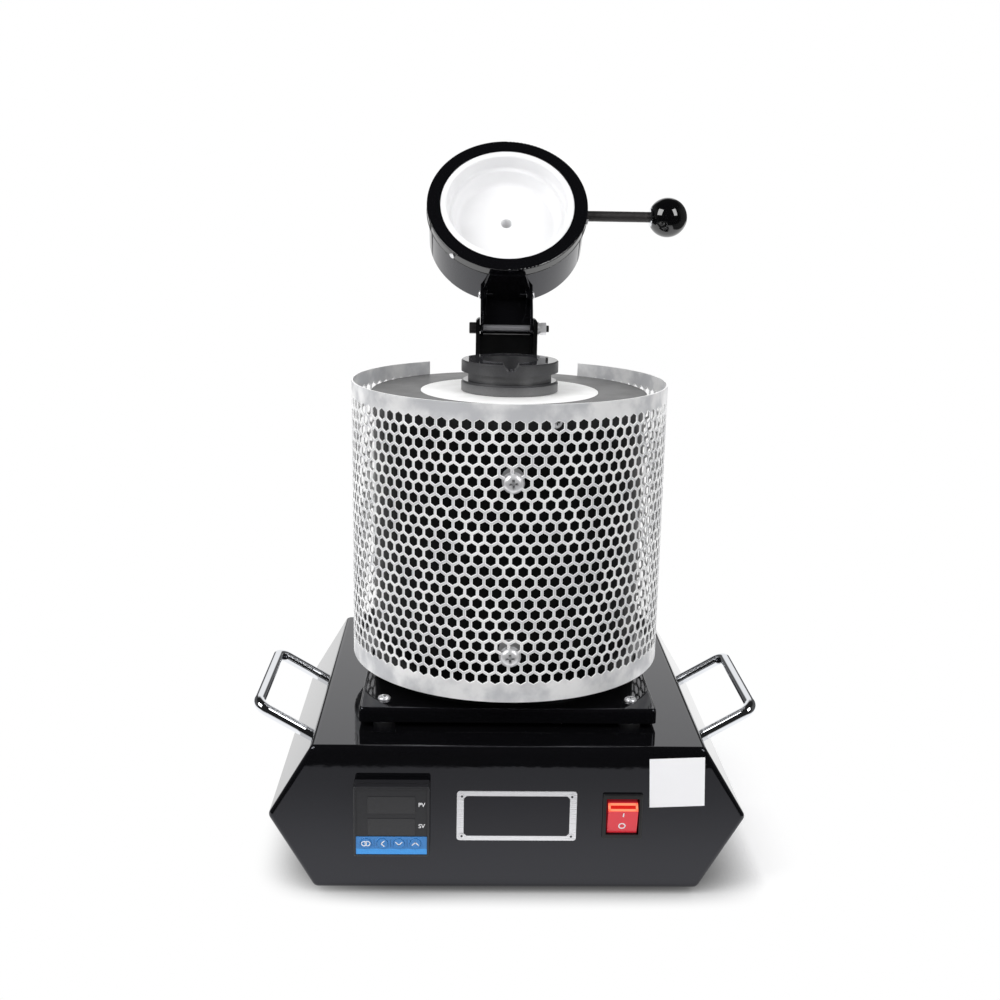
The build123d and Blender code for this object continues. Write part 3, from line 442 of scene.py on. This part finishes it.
# Turned aluminium spacers, bead-blasted pale so they show in the shade of the pan.
blasted, tree, shader = surface("bead_blasted_aluminium", "#f6f6f8", 0.4, Metallic=0.25)
relief(tree, shader, grain(tree, 0.3, 2.0), 0.006)
coat(["plate_spacers"], blasted)


# ---- furnace body, lining and heater -----------------------------------------
# A rolled black shell with a dished cap round a white alumina ring. Inside are fibre
# board, the ceramic tube with its wound heating wire, and the graphite liner.

# Sprayed stove black, dull enough to stay dark behind the bright guard.
stove_black, tree, shader = surface("dull_stove_black", "#050506", 0.35, Specular_IOR_Level=0.2)
relief(tree, shader, grain(tree, 0.8, 3.0), 0.01)
vary(tree, shader, "Roughness", grain(tree, 20, 3.0), 0.3, 0.45)
coat(["furnace_shell"], stove_black)

# Heat-darkened cap: the same powder coat, duller and greyer round the hot ring.
cap_coat, tree, shader = surface("heat_dulled_powder_coat", "#151516", 0.34)
relief(tree, shader, grain(tree, 0.5, 3.0), 0.02, 0.4)
vary(tree, shader, "Roughness", grain(tree, 18, 2.0), 0.3, 0.35)
coat(["furnace_cap"], cap_coat)

# Cast alumina: clean chalk white with fine open pores.
alumina, tree, shader = surface("cast_white_alumina", "#f7f7f7", 0.72)
relief(tree, shader, grain(tree, 0.6, 4.0), 0.05, 0.5)
tint(tree, shader, grain(tree, 12, 3.0), "#f4f4f3", "#fbfbfb")
coat(["ceramic_ring", "heating_tube", "lead_bushings", "pedestal"], alumina)

# Pressed ceramic fibre: matt cream with a felted face.
fibre, tree, shader = surface("pressed_ceramic_fibre", "#e9e4d8", 0.95)
relief(tree, shader, grain(tree, 1.2, 5.0), 0.15)
tint(tree, shader, grain(tree, 8, 4.0), "#e0dacb", "#f0ece2")
coat(["insulation"], fibre)

# Iron-chrome-aluminium wire, grey and scaly once it has been hot.
wire, tree, shader = surface("oxidised_resistance_wire", "#6b6560", 0.55, Metallic=1.0)
relief(tree, shader, grain(tree, 0.5, 4.0), 0.02)
coat(["heating_coil", "heater_leads"], wire)


def coordinate(tree, kind, axis):
    """One axis of a piece's own place or normal."""
    where = add_node(tree, "TexCoord").outputs[kind]
    return add_node(tree, "SeparateXYZ", [where]).outputs[axis]


# Machined graphite: soft grey-black with a pencil-lead sheen. Its faced-off top is
# smooth enough to mirror the backdrop at a low angle.
graphite, tree, shader = surface("machined_graphite", "#2c2c2f", 0.3, IOR=2.6)
relief(tree, shader, grain(tree, 0.7, 2.0), 0.003)
upwards = coordinate(tree, "Normal", "Z")
vary(tree, shader, "Roughness", upwards, 0.34, 0.04, 0.9, 0.98)
tint(tree, shader, grain(tree, 1.2, 3.0), "#28282b", "#38383b")
coat(["graphite_liner", "crucible"], graphite)

CAP_SCREW_HEIGHT = 304 * MM
CAP_SCREW_ANGLES = [-73.8 + 120 * step for step in range(3)]
CAP_RADIUS = (cap_high.x - cap_low.x) / 2


def round_axis(radius, angle, height):
    """Place at a radius, angle and height about the furnace's axis, and the way out."""
    outwards = Vector((cos(radians(angle)), sin(radians(angle)), 0))
    return Vector((0, AXIS_Y, height)) + outwards * radius, outwards


cap_screw = screw_mesh("m4_pan_head", head=4.0, height=2.4, shank=2.0, length=8)
parts = []
for angle in CAP_SCREW_ANGLES:
    place, outwards = round_axis(CAP_RADIUS, angle, CAP_SCREW_HEIGHT)
    parts.append((cap_screw, aimed(place, outwards, radians(angle))))
cap_screws = gathered("cap_screws_cross_recess", parts, zinc, "base")
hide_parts("cap_screws")
coat(["shell_screws"], zinc)


# ---- perforated guard --------------------------------------------------------
# Galvanised sheet 1 mm thick, punched all over with hexagons and rolled to a C that is
# open at the back. Six stand-offs and screws hold it clear of the hot shell.

HOLE_PITCH = 8.2 * MM
HOLE_FLATS = 5.9 * MM
ROW_PITCH = HOLE_PITCH * 3**0.5 / 2
HOLE_ROWS = 24
SPARE_COLUMNS = 38  # hexagons laid out to each side before the sheet is trimmed
FIRST_ROW_DOWN = 13.5 * MM
LEFT_HOLE, RIGHT_HOLE = -32.0, 32.5  # columns from the front screws
LEFT_MARGIN, RIGHT_MARGIN = 14.9 * MM, 15.9 * MM
ROLLED_EDGE = 0.42 * MM  # the punch draws each hole's edge in a little
ROLLED_DEPTH = ROLLED_EDGE * 0.7
GUARD_SHEET = 1.0 * MM
FRONT_TURN = radians(-0.5)
guard_low, guard_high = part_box("guard")
GUARD_RADIUS = (guard_high.x - guard_low.x) / 2


def guard_lattice():
    """The sheet laid flat: X runs round the guard from the front, Y is the height."""
    bm = bmesh.new()
    bmesh.ops.create_circle(bm, cap_ends=True, segments=6, radius=ROW_PITCH * 2 / 3)
    web = (HOLE_PITCH - HOLE_FLATS) / 2
    bmesh.ops.inset_individual(bm, faces=bm.faces[:], thickness=web - ROLLED_EDGE)
    hexagon = min(bm.faces, key=lambda face: face.calc_center_median().length)
    bmesh.ops.inset_individual(bm, faces=[hexagon], thickness=ROLLED_EDGE, depth=-ROLLED_DEPTH)
    bmesh.ops.translate(bm, verts=bm.verts, vec=(-SPARE_COLUMNS * HOLE_PITCH, 0, 0))
    one = bm.faces[:] + bm.edges[:] + bm.verts[:]
    for step in range(1, 2 * SPARE_COLUMNS + 1):
        copy = bmesh.ops.duplicate(bm, geom=one)["geom"]
        moved = [v for v in copy if isinstance(v, bmesh.types.BMVert)]
        bmesh.ops.translate(bm, verts=moved, vec=(step * HOLE_PITCH, 0, 0))
    row = bm.faces[:] + bm.edges[:] + bm.verts[:]
    for step in range(-2, HOLE_ROWS + 2):
        copy = bmesh.ops.duplicate(bm, geom=row)["geom"]
        moved = [v for v in copy if isinstance(v, bmesh.types.BMVert)]
        aside = 0.0 if step % 2 else 0.5 * HOLE_PITCH
        height = guard_high.z - FIRST_ROW_DOWN - step * ROW_PITCH
        bmesh.ops.translate(bm, verts=moved, vec=(aside, height, 0))
    pattern = [v for v in row if isinstance(v, bmesh.types.BMVert)]
    bmesh.ops.delete(bm, geom=pattern, context="VERTS")
    top_row = guard_high.z - FIRST_ROW_DOWN + ROW_PITCH / 2
    low_row = top_row - HOLE_ROWS * ROW_PITCH
    punched = []
    for face in bm.faces:
        middle = face.calc_center_median()
        column = middle.x / HOLE_PITCH
        inside = LEFT_HOLE - 0.2 < column < RIGHT_HOLE + 0.2 and low_row < middle.y < top_row
        if len(face.verts) == 6 and inside:
            punched.append(face)
    bmesh.ops.delete(bm, geom=punched, context="FACES")
    bmesh.ops.remove_doubles(bm, verts=bm.verts, dist=0.02 * MM)
    left = LEFT_HOLE * HOLE_PITCH - LEFT_MARGIN
    right = RIGHT_HOLE * HOLE_PITCH + RIGHT_MARGIN
    for vert in bm.verts:
        if vert.co.z and not vert.is_boundary:
            vert.co.z = 0.0
    for place, away in (((left, 0, 0), (-1, 0, 0)), ((right, 0, 0), (1, 0, 0)),
                        ((0, guard_low.z, 0), (0, -1, 0)), ((0, guard_high.z, 0), (0, 1, 0))):
        bmesh.ops.bisect_plane(bm, geom=bm.verts[:] + bm.edges[:] + bm.faces[:], dist=1e-6,
                               plane_co=place, plane_no=away, clear_outer=True)
    return bm


bm = guard_lattice()
for vert in bm.verts:
    along = vert.co.x / GUARD_RADIUS + FRONT_TURN
    height, radius = vert.co.y, GUARD_RADIUS + vert.co.z
    vert.co = (radius * sin(along), AXIS_Y - radius * cos(along), height)
bm.normal_update()
outward_face = next(iter(bm.faces))
if outward_face.normal.dot(outward_face.calc_center_median() - Vector((0, AXIS_Y, 0))) < 0:
    bmesh.ops.reverse_faces(bm, faces=bm.faces)
bm.normal_update()
bmesh.ops.solidify(bm, geom=bm.faces[:], thickness=GUARD_SHEET)
guard_mesh = mesh_of(bm, "guard_punched")

# Galvanised sheet: pale grey and frosted, so it scatters most of its light evenly.
galvanised, tree, shader = surface("galvanised_sheet", "#e2e3e6", 0.38, Metallic=0.35)
vary(tree, shader, "Roughness", grain(tree, 14.0, 4.0), 0.3, 0.44)
tint(tree, shader, grain(tree, 20.0, 6.0), "#d6d7da", "#ffffff", 0.35, 0.65)
relief(tree, shader, grain(tree, 1.6, 4.0), 0.02, 0.18)

# Where the punch sheared through, the zinc is gone and the steel is torn. The hole walls and
# rolled edges are white, partly for the bare steel and partly as a painted highlight on the
# punched rims.
sheared_and_highlight, tree, shader = surface("sheared_and_highlight_steel_edge", "#ffffff", 0.5, Metallic=0.1)
torn = grain(tree, 0.3, 3.0)
vary(tree, shader, "Roughness", torn, 0.42, 0.6)
relief(tree, shader, torn, 0.02)
guard = gathered("guard_punched", [(guard_mesh, Matrix())], galvanised, "base", 30)
guard.data.materials.append(sheared_and_highlight)
for face in guard.data.polygons:
    outwards = (face.center - Vector((0, AXIS_Y, 0))).to_2d().normalized()
    face.material_index = int(abs(face.normal.to_2d().dot(outwards)) < 0.95)
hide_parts("guard")

GUARD_SCREW_HEIGHTS = (155.3 * MM, 268.5 * MM)
guard_screw = screw_mesh("m5_guard_pan_head", head=6.2, height=3.6, shank=2.5, length=24)
parts = []
for count, angle in enumerate((-90, 30, 150)):
    for height in GUARD_SCREW_HEIGHTS:
        place, outwards = round_axis(GUARD_RADIUS, angle, height)
        parts.append((guard_screw, aimed(place, outwards, count * 0.4 + height * 0.3)))
guard_screws = gathered("guard_screws_cross_recess", parts, zinc, "base")
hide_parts("guard_screws")
coat(["guard_standoffs"], zinc)


# ---- hinge post, bolt and washers --------------------------------------------
# A bent black channel screwed to the shell's back carries the lid's arm on a black
# socket-head bolt, held by a plain washer, a spring washer and a hex nut.

coat(["hinge_post"], stove_black)
coat(["post_spacers", "hinge_washers", "hinge_nut"], zinc)

# Black-oxide steel, dark and dry; the shank is lighter grey within 17 mm of the bolt's middle.
PALE_SHANK, PALE_SHANK_FADE = 17.0 * MM, 1.0 * MM
pale_shank_oxide, tree, shader = surface("black_oxide_bolt_pale_shank", "#4a4848", 0.42, Metallic=0.7)
relief(tree, shader, grain(tree, 0.5, 4.0), 0.03, 0.2)
outer = add_node(tree, "Math", [coordinate(tree, "Object", "X")], operation="ABSOLUTE")
tint(tree, shader, outer, "#98989c", "#3a3838", PALE_SHANK, PALE_SHANK + PALE_SHANK_FADE)
coat(["hinge_bolt"], pale_shank_oxide)

POST_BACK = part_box("hinge_post")[1].y
POST_SCREW_HEIGHTS = (280 * MM, 212 * MM)
post_screw = screw_mesh("m5_post_pan_head", head=4.75, height=2.8, shank=2.5, length=14)
parts = []
for height in POST_SCREW_HEIGHTS:
    place = Vector((0, POST_BACK, height))
    parts.append((post_screw, aimed(place, (0, 1, 0), height * 9)))
post_screws = gathered("post_screws_cross_recess", parts, zinc, "base")
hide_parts("post_screws")


# ---- lid ---------------------------------------------------------------------
# A spun black can with a rolled black ring round its mouth, filled with a moulded
# ceramic fibre plug. A bracket on its wall carries the arm, and a rod the ball knob.

coat(["lid_shell", "lid_arm", "lid_saddle"], powder)
coat(["lid_ring_screws"], zinc)

# Gloss enamel on the ring: smoother and deeper than the powder coat.
enamel, tree, shader = surface("gloss_black_enamel", "#08080b", 0.05, IOR=1.85)
relief(tree, shader, grain(tree, 3.0, 1.0), 0.008, 0.4)
coat(["lid_ring"], enamel)

# The ring is pressed from sheet: a bead stiffens its skirt. A matt black rubber cord just behind
# the skirt is painted shade, a dark line where the gap to the wall lies in shadow.
LID_GAP = 0.4 * MM
LID_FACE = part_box("ceramic_ring")[1].z + LID_GAP
OPEN_ANGLE = 129.3
HINGE = next(Vector(j["pos_m"]) for j in frame["joints"] if j["name"] == "lid_hinge")
OPEN = Matrix.Translation(HINGE) @ Matrix.Rotation(-radians(OPEN_ANGLE), 4, "X")
OPEN = OPEN @ Matrix.Translation(Vector((0, AXIS_Y, LID_FACE)) - HINGE)


def hoop_mesh(name, radius, wire, steps=28):
    """Torus of wire round Z, on the origin."""
    bm = bmesh.new()
    ring = bmesh.ops.create_circle(bm, segments=12, radius=wire)["verts"]
    bmesh.ops.rotate(bm, verts=ring, matrix=Matrix.Rotation(pi / 2, 3, "X"))
    bmesh.ops.translate(bm, verts=ring, vec=(radius, 0, 0))
    bmesh.ops.spin(bm, geom=bm.verts[:] + bm.edges[:], cent=(0, 0, 0), axis=(0, 0, 1),
                   angle=tau, steps=steps, use_merge=True)
    return mesh_of(bm, name)


def lid_hoop(name, radius, rise, wire):
    """Round cord about the lid's axis, a rise behind its face, all in millimetres."""
    cord = hoop_mesh(name, radius * MM, wire * MM, 96)
    return cord, OPEN @ Matrix.Translation((0, 0, rise * MM))


beads = [lid_hoop("rim", radius=59.25, rise=2.15, wire=2.2),
         lid_hoop("hem", radius=61.2, rise=7.8, wire=0.5)]
gathered("lid_ring_beads", beads, enamel, "lid")
gathered("lid_ring_painted_shadow", [lid_hoop("painted_shadow", radius=60.2, rise=8.9, wire=0.8)], rubber, "lid")

# Vacuum-formed ceramic fibre: very white, soft-edged and faintly mottled.
moulded_fibre, tree, shader = surface("vacuum_formed_fibre", "#f4f3f2", 0.9)
relief(tree, shader, grain(tree, 0.9, 4.0), 0.02, 1.0)
tint(tree, shader, grain(tree, 30, 2.0), "#f1f1f2", "#f5f5f6")
coat(["lid_insert"], moulded_fibre)

# Compression-moulded phenolic: jet black ball with a hard polish.
phenolic, tree, shader = surface("polished_phenolic", "#060607", 0.05, IOR=1.8)
relief(tree, shader, grain(tree, 5.0, 1.0), 0.006)
coat(["knob"], phenolic)
coat(["knob_washer"], chrome)

# Black-oxide steel: a dark, slightly brown and dry skin with a weak metal sheen.
oxide, tree, shader = surface("black_oxide_steel", "#4a4848", 0.42, Metallic=0.7)
relief(tree, shader, grain(tree, 0.4, 4.0), 0.012, 0.2)
vary(tree, shader, "Roughness", grain(tree, 2.5, 3.0), 0.3, 0.55)
coat(["knob_rod"], oxide)

ARM_SCREW_HEAD = 1.8  # height in millimetres
arm_screw_low, arm_screw_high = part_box("lid_arm_screws")
arm_middle = (arm_screw_low + arm_screw_high) / 2
arm_screw = screw_mesh("m4_arm_pan_head", head=3.2, height=ARM_SCREW_HEAD, shank=2.0,
                       length=4.4)
parts = []
for side in (-1, 1):
    seat = arm_screw_high.x - ARM_SCREW_HEAD * MM
    place = Vector((side * seat, arm_middle.y, arm_middle.z))
    parts.append((arm_screw, aimed(place, (side, 0, 0), 0.6 * side)))
arm_screws = gathered("lid_arm_screws_cross_recess", parts, zinc, "lid")
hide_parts("lid_arm_screws")


# ---- panel controller --------------------------------------------------------
# A 48 mm square black ABS controller snapped into the front, with two smoked display
# windows and a printed blue membrane over four domed keys.

# Moulded ABS with a fine spark-eroded grain.
abs_plastic, tree, shader = surface("moulded_black_abs", "#29292c", 0.4)
relief(tree, shader, grain(tree, 0.35, 2.0), 0.012, 0.35)
coat(["controller", "controller_clip"], abs_plastic)

# Smoked acrylic over unlit digits: flat grey with a soft sheen.
smoked, tree, shader = surface("smoked_acrylic", "#2f2f31", 0.2)
relief(tree, shader, grain(tree, 8.0, 1.0), 0.01)
coat(["controller_windows"], smoked)

overlay_low, overlay_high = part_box("controller_overlay")
CONTROLLER_X = (overlay_low.x + overlay_high.x) / 2
CONTROLLER_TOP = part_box("controller")[1].z
STRIP_SPLIT = CONTROLLER_TOP - 42.4 * MM
SPLIT_BLUR = 0.05 * MM

# Screen-printed polyester: mid blue by the keys and a lighter strip under them.
blue_print, tree, shader = surface("printed_blue_polyester", "#3f86c9", 0.35)
height = coordinate(tree, "Object", "Z")
above = add_node(tree, "MapRange", [height, STRIP_SPLIT - SPLIT_BLUR, STRIP_SPLIT + SPLIT_BLUR],
                 **SMOOTH)
tint(tree, shader, above, "#45a0ee", "#3f83c6", 0.0, 1.0)
relief(tree, shader, grain(tree, 0.3, 2.0), 0.006, 0.2)
coat(["controller_overlay", "key_set", "key_shift", "key_down", "key_up"], blue_print)

# White screen ink, laid thick enough to stand just proud.
ink, tree, shader = surface("white_screen_ink", "#f2f2f4", 0.5)
relief(tree, shader, grain(tree, 0.2, 2.0), 0.004)


def lettering(text, height, matrix):
    """Mesh of raised printing, centred, lying on the XY plane of a matrix."""
    words = bpy.data.curves.new("printing", "FONT")
    words.body, words.size, words.align_x, words.align_y = text, height * 1.38, "CENTER", "CENTER"
    words.extrude, words.offset = 0.05 * MM, height * 0.018
    holder = bpy.data.objects.new("printing", words)
    bpy.context.scene.collection.objects.link(holder)
    bpy.context.view_layer.update()
    mesh = bpy.data.meshes.new_from_object(holder)
    bpy.data.objects.remove(holder)
    mesh.transform(matrix)
    return mesh


def bar_mesh(name, start, end, width, thickness):
    """Flat bar on the XY plane between two points."""
    bm = bmesh.new()
    bmesh.ops.create_cube(bm, size=1)
    span = Vector(end) - Vector(start)
    bmesh.ops.scale(bm, verts=bm.verts, vec=(span.length + width, width, thickness))
    bmesh.ops.rotate(bm, verts=bm.verts, matrix=Matrix.Rotation(atan2(span.y, span.x), 3, "Z"))
    middle = (Vector(start) + Vector(end)) / 2
    bmesh.ops.translate(bm, verts=bm.verts, vec=(middle.x, middle.y, 0))
    return mesh_of(bm, name)


def on_front(x, y, z):
    """Matrix that lays the XY plane on the front panel: X to the right and Y up."""
    return Matrix.Translation((x, y, z)) @ Matrix.Rotation(pi / 2, 4, "X")


FACE_Y = overlay_low.y + 0.4 * MM
LETTERS_X, LETTERS_HEIGHT = CONTROLLER_X + 19.0 * MM, 2.8 * MM
DISPLAY_MARKS = {"PV": 12.4 * MM, "SV": 27.0 * MM}  # distance down from the controller's top
parts = []
for letters, down in DISPLAY_MARKS.items():
    place = on_front(LETTERS_X, FACE_Y, CONTROLLER_TOP - down)
    parts.append((lettering(letters, LETTERS_HEIGHT, place), Matrix()))
gathered("display_marks", parts, ink, "base")

PRINT = 0.14 * MM  # thickness of a printed stroke, half of it sunk in the key
STROKE = 0.6 * MM
key_icons = {  # strokes from point to point in millimetres
    "key_shift": [((1.1, 1.7), (-0.9, 0.0)), ((-0.9, 0.0), (1.1, -1.7))],
    "key_down": [((-1.9, 0.9), (0.0, -0.9)), ((0.0, -0.9), (1.9, 0.9))],
    "key_up": [((-1.9, -0.9), (0.0, 0.9)), ((0.0, 0.9), (1.9, -0.9))],
}
for key, strokes in key_icons.items():
    low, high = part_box(key)
    place = on_front((low.x + high.x) / 2, low.y, (low.z + high.z) / 2)
    parts = []
    for start, end in strokes:
        ends = [Vector((*point, 0)) * MM for point in (start, end)]
        parts.append((bar_mesh("stroke", *ends, STROKE, PRINT), place))
    gathered(key + "_mark", parts, ink, key)
low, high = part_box("key_set")
place = on_front((low.x + high.x) / 2, low.y, (low.z + high.z) / 2)
link = hoop_mesh("link", 1.55 * MM, 0.26 * MM, 20)
parts = [(link, place @ Matrix.Translation((aside, 0, 0))) for aside in (-1.1 * MM, 1.1 * MM)]
gathered("key_set_mark", parts, ink, "key_set")

# Embossed dome edge round each key and the thin dark dividers between them.
dome, tree, shader = surface("embossed_blue_polyester", "#4a90d2", 0.25)
relief(tree, shader, grain(tree, 0.3, 2.0), 0.004)
divider_ink, tree, shader = surface("dark_blue_screen_ink", "#1f4d80", 0.5)
relief(tree, shader, grain(tree, 0.2, 2.0), 0.004)
keys = [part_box(name) for name in ("key_set", "key_shift", "key_down", "key_up")]
dome_edge = hoop_mesh("dome_edge", 3.75 * MM, 0.2 * MM)
divider = bar_mesh("divider", (0, -2.6 * MM), (0, 2.6 * MM), 0.25 * MM, 0.12 * MM)
domes, dividers = [], []
for low, high in keys:
    middle = (low + high) / 2
    domes.append((dome_edge, on_front(middle.x, overlay_low.y, middle.z)))
for (low, high), (next_low, _) in zip(keys, keys[1:]):
    gap = (high.x + next_low.x) / 2
    dividers.append((divider, on_front(gap, overlay_low.y, (low.z + high.z) / 2)))
gathered("key_dome_edges", domes, dome, "base")
gathered("key_dividers", dividers, divider_ink, "base")


# ---- rocker switch -----------------------------------------------------------
# A rocker switch with a built-in lamp, in a snap-in black nylon frame. The red polycarbonate
# rocker has a clear window at the top and white I and O marks printed on its face; the glow of
# rocker and window is painted.

# Glass-filled nylon: satin black.
nylon, tree, shader = surface("moulded_black_nylon", "#161618", 0.38)
relief(tree, shader, grain(tree, 0.4, 2.0), 0.01, 0.3)
coat(["switch_frame"], nylon)

# Tinted polycarbonate with a faint painted glow of its own red.
red_lens, tree, shader = surface("tinted_red_polycarbonate", "#dc2b3a", 0.22, IOR=1.58,
                                 Subsurface_Weight=0.25, Subsurface_Scale=0.004,
                                 Emission_Strength=0.10)
shader.inputs["Emission Color"].default_value = from_hex("#ff3a48")
relief(tree, shader, grain(tree, 4.0, 1.0), 0.01, 0.3)
coat(["switch_rocker"], red_lens)

PIVOT = next(Vector(j["pos_m"]) for j in frame["joints"] if j["name"] == "switch_rocker")
TILT = radians(14.0)
FACE_OUT = 9.0 * MM  # from the pivot to the flat face


def on_rocker(x, y, out=0.0):
    """Matrix on the rocker's face: x to the right, y up along it, out from it."""
    base = Matrix.Translation(PIVOT) @ Matrix.Rotation(pi / 2 + TILT, 4, "X")
    return base @ Matrix.Translation((x, y, FACE_OUT + out))


mark_on = bar_mesh("on_mark", (0.0, -1.0 * MM), (0.15 * MM, 1.0 * MM), 0.85 * MM, 0.12 * MM)
mark_off = hoop_mesh("off_mark", 1.95 * MM, 0.42 * MM)
FLATTENED = Matrix.Diagonal((1, 1, 0.25, 1))
parts = [(mark_on, on_rocker(0.2 * MM, 4.6 * MM)),
         (mark_off, on_rocker(-0.2 * MM, -4.3 * MM) @ FLATTENED)]
gathered("rocker_marks", parts, ink, "rocker")

# The window's orange rim and the darker red lens inside it both glow, the rim more: painted glow.
rim_glow, tree, shader = surface("orange_lens_rim_painted_glow", "#ff8a66", 0.25, Emission_Strength=0.35)
shader.inputs["Emission Color"].default_value = from_hex("#ff7a55")
relief(tree, shader, grain(tree, 2.0, 1.0), 0.01)
dark_lens, tree, shader = surface("deep_red_lens", "#d21f1a", 0.12, Emission_Strength=0.06)
shader.inputs["Emission Color"].default_value = from_hex("#ff3020")
relief(tree, shader, grain(tree, 2.5, 2.0), 0.12)
LENS_FOLD, LENS_END = Vector((9.0, 7.7)) * MM, Vector((5.0, 11.0)) * MM  # (out, up)
LENS_WIDTH, LENS_RIM = 19.0 * MM, 1.5 * MM
slant = LENS_END - LENS_FOLD
slope = atan2(-slant.x, slant.y)
lens_middle = (LENS_FOLD + LENS_END) / 2
facet = on_rocker(0, lens_middle.y, lens_middle.x - FACE_OUT) @ Matrix.Rotation(-slope, 4, "X")
half_width, half_slant = LENS_WIDTH / 2 - LENS_RIM / 2, slant.length / 2 - LENS_RIM / 2
corners = [(-half_width, -half_slant), (half_width, -half_slant),
           (half_width, half_slant), (-half_width, half_slant)]
rim = [(bar_mesh("rim", start, end, LENS_RIM, 0.2 * MM), facet)
       for start, end in zip(corners, corners[1:] + corners[:1])]
gathered("lens_rim", rim, rim_glow, "rocker")
PANE_DOWN = 0.35 * MM  # below the rim
pane_high = 2 * half_slant - LENS_RIM
pane_end = half_width - (LENS_RIM + pane_high) / 2
pane = bar_mesh("pane", (-pane_end, 0), (pane_end, 0), pane_high, 0.12 * MM)
pane_place = facet @ Matrix.Translation((0, 0, -PANE_DOWN))
gathered("lens_pane", [(pane, pane_place)], dark_lens, "rocker")


# ---- name plate and label ----------------------------------------------------
# A thin aluminium plate on four rivets, its field filled with dark ink inside a bare
# border, and a square of white vinyl. Both are left without any print.

# Rolled aluminium, lightly brushed along its length. The marks are drawn several times
# as wide as the real ones, which would not show.
aluminium, tree, shader = surface("brushed_aluminium_plate", "#f1f1f4", 0.3, Metallic=0.6)
BRUSH_MARKS = (50 / 3 * MM, 2 / 3 * MM, 1 / 4 * MM)  # length, depth and height of one
where = add_node(tree, "TexCoord").outputs["Object"]
stretch = add_node(tree, "Mapping", {"Vector": where, "Scale": [1 / size for size in BRUSH_MARKS]})
brushed = add_node(tree, "TexNoise", {"Vector": stretch, "Scale": 1.0, "Detail": 2.0})
brushed = brushed.outputs["Fac"]
relief(tree, shader, brushed, 0.004, 0.15)
vary(tree, shader, "Roughness", brushed, 0.25, 0.4)
coat(["name_plate", "name_plate_rivets"], aluminium)

# Dark blue-grey etching ink, satin.
field_ink, tree, shader = surface("dark_etching_ink", "#14141d", 0.3)
relief(tree, shader, grain(tree, 0.5, 2.0), 0.004)


def sheet_mesh(name, width, height, thickness, corner=0.0):
    """Thin rectangular sheet on the XY plane with its corners cut off."""
    bm = bmesh.new()
    bmesh.ops.create_grid(bm, x_segments=1, y_segments=1, size=0.5)
    bmesh.ops.scale(bm, verts=bm.verts, vec=(width, height, 1))
    if corner:
        bmesh.ops.bevel(bm, geom=bm.verts[:], offset=corner, affect="VERTICES", segments=1,
                        profile=0.5, material=-1)
    bmesh.ops.recalc_face_normals(bm, faces=bm.faces)
    bmesh.ops.solidify(bm, geom=bm.faces[:], thickness=thickness)
    bmesh.ops.translate(bm, verts=bm.verts, vec=(0, 0, thickness))
    return mesh_of(bm, name)


plate_low, plate_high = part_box("name_plate")
plate_middle = (plate_low + plate_high) / 2
field = sheet_mesh("field", width=67.6 * MM, height=27.6 * MM, thickness=0.08 * MM,
                   corner=1.8 * MM)
place = on_front(plate_middle.x, plate_low.y, plate_middle.z)
gathered("name_plate_field", [(field, place)], field_ink, "base")

# Each rivet's drawn-back middle is covered by a flat dark disc: painted shade in the hollow.
RIVET_RADIUS = 1.6 * MM
rivet_low, rivet_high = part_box("name_plate_rivets")
painted_shade_disc = turned_mesh("painted_shade_disc", [(0, 0.06), (0.75, 0.06), (0.75, 0)], 16)
painted_shade_discs = []
for x in (rivet_low.x + RIVET_RADIUS, rivet_high.x - RIVET_RADIUS):
    for z in (rivet_low.z + RIVET_RADIUS, rivet_high.z - RIVET_RADIUS):
        painted_shade_discs.append((painted_shade_disc, on_front(x, rivet_low.y, z)))
gathered("rivet_painted_shade_discs", painted_shade_discs, field_ink, "base")

# Matt white self-adhesive vinyl.
vinyl, tree, shader = surface("white_vinyl_label", "#f6f6f8", 0.5)
relief(tree, shader, grain(tree, 1.5, 2.0), 0.006)
LABEL_X, LABEL_Z, LABEL_TURN = 107.3 * MM, 79.0 * MM, radians(2.4)
CASE_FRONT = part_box("case_cover")[0].y
label = sheet_mesh("label", width=35.2 * MM, height=33.4 * MM, thickness=0.12 * MM)
place = on_front(LABEL_X, CASE_FRONT, LABEL_Z) @ Matrix.Rotation(LABEL_TURN, 4, "Z")
gathered("blank_label", [(label, place)], vinyl, "base")


# ---- back panel and the works inside -----------------------------------------
# A nylon cord gland with its clamping nut in the back panel, and inside the case the
# solid-state relay on its finned aluminium heat sink.

coat(["gland_body", "gland_nut", "gland_locknut"], nylon)

# Extruded aluminium, dull and faintly streaked.
extrusion, tree, shader = surface("extruded_aluminium", "#b9bcc0", 0.4, Metallic=1.0)
relief(tree, shader, grain(tree, 0.8, 3.0), 0.01, 0.2)
coat(["heat_sink"], extrusion)

# Potted relay case in off-white polyester.
potted, tree, shader = surface("moulded_relay_case", "#dcd9d0", 0.5)
relief(tree, shader, grain(tree, 0.5, 3.0), 0.02, 0.3)
coat(["solid_state_relay"], potted)
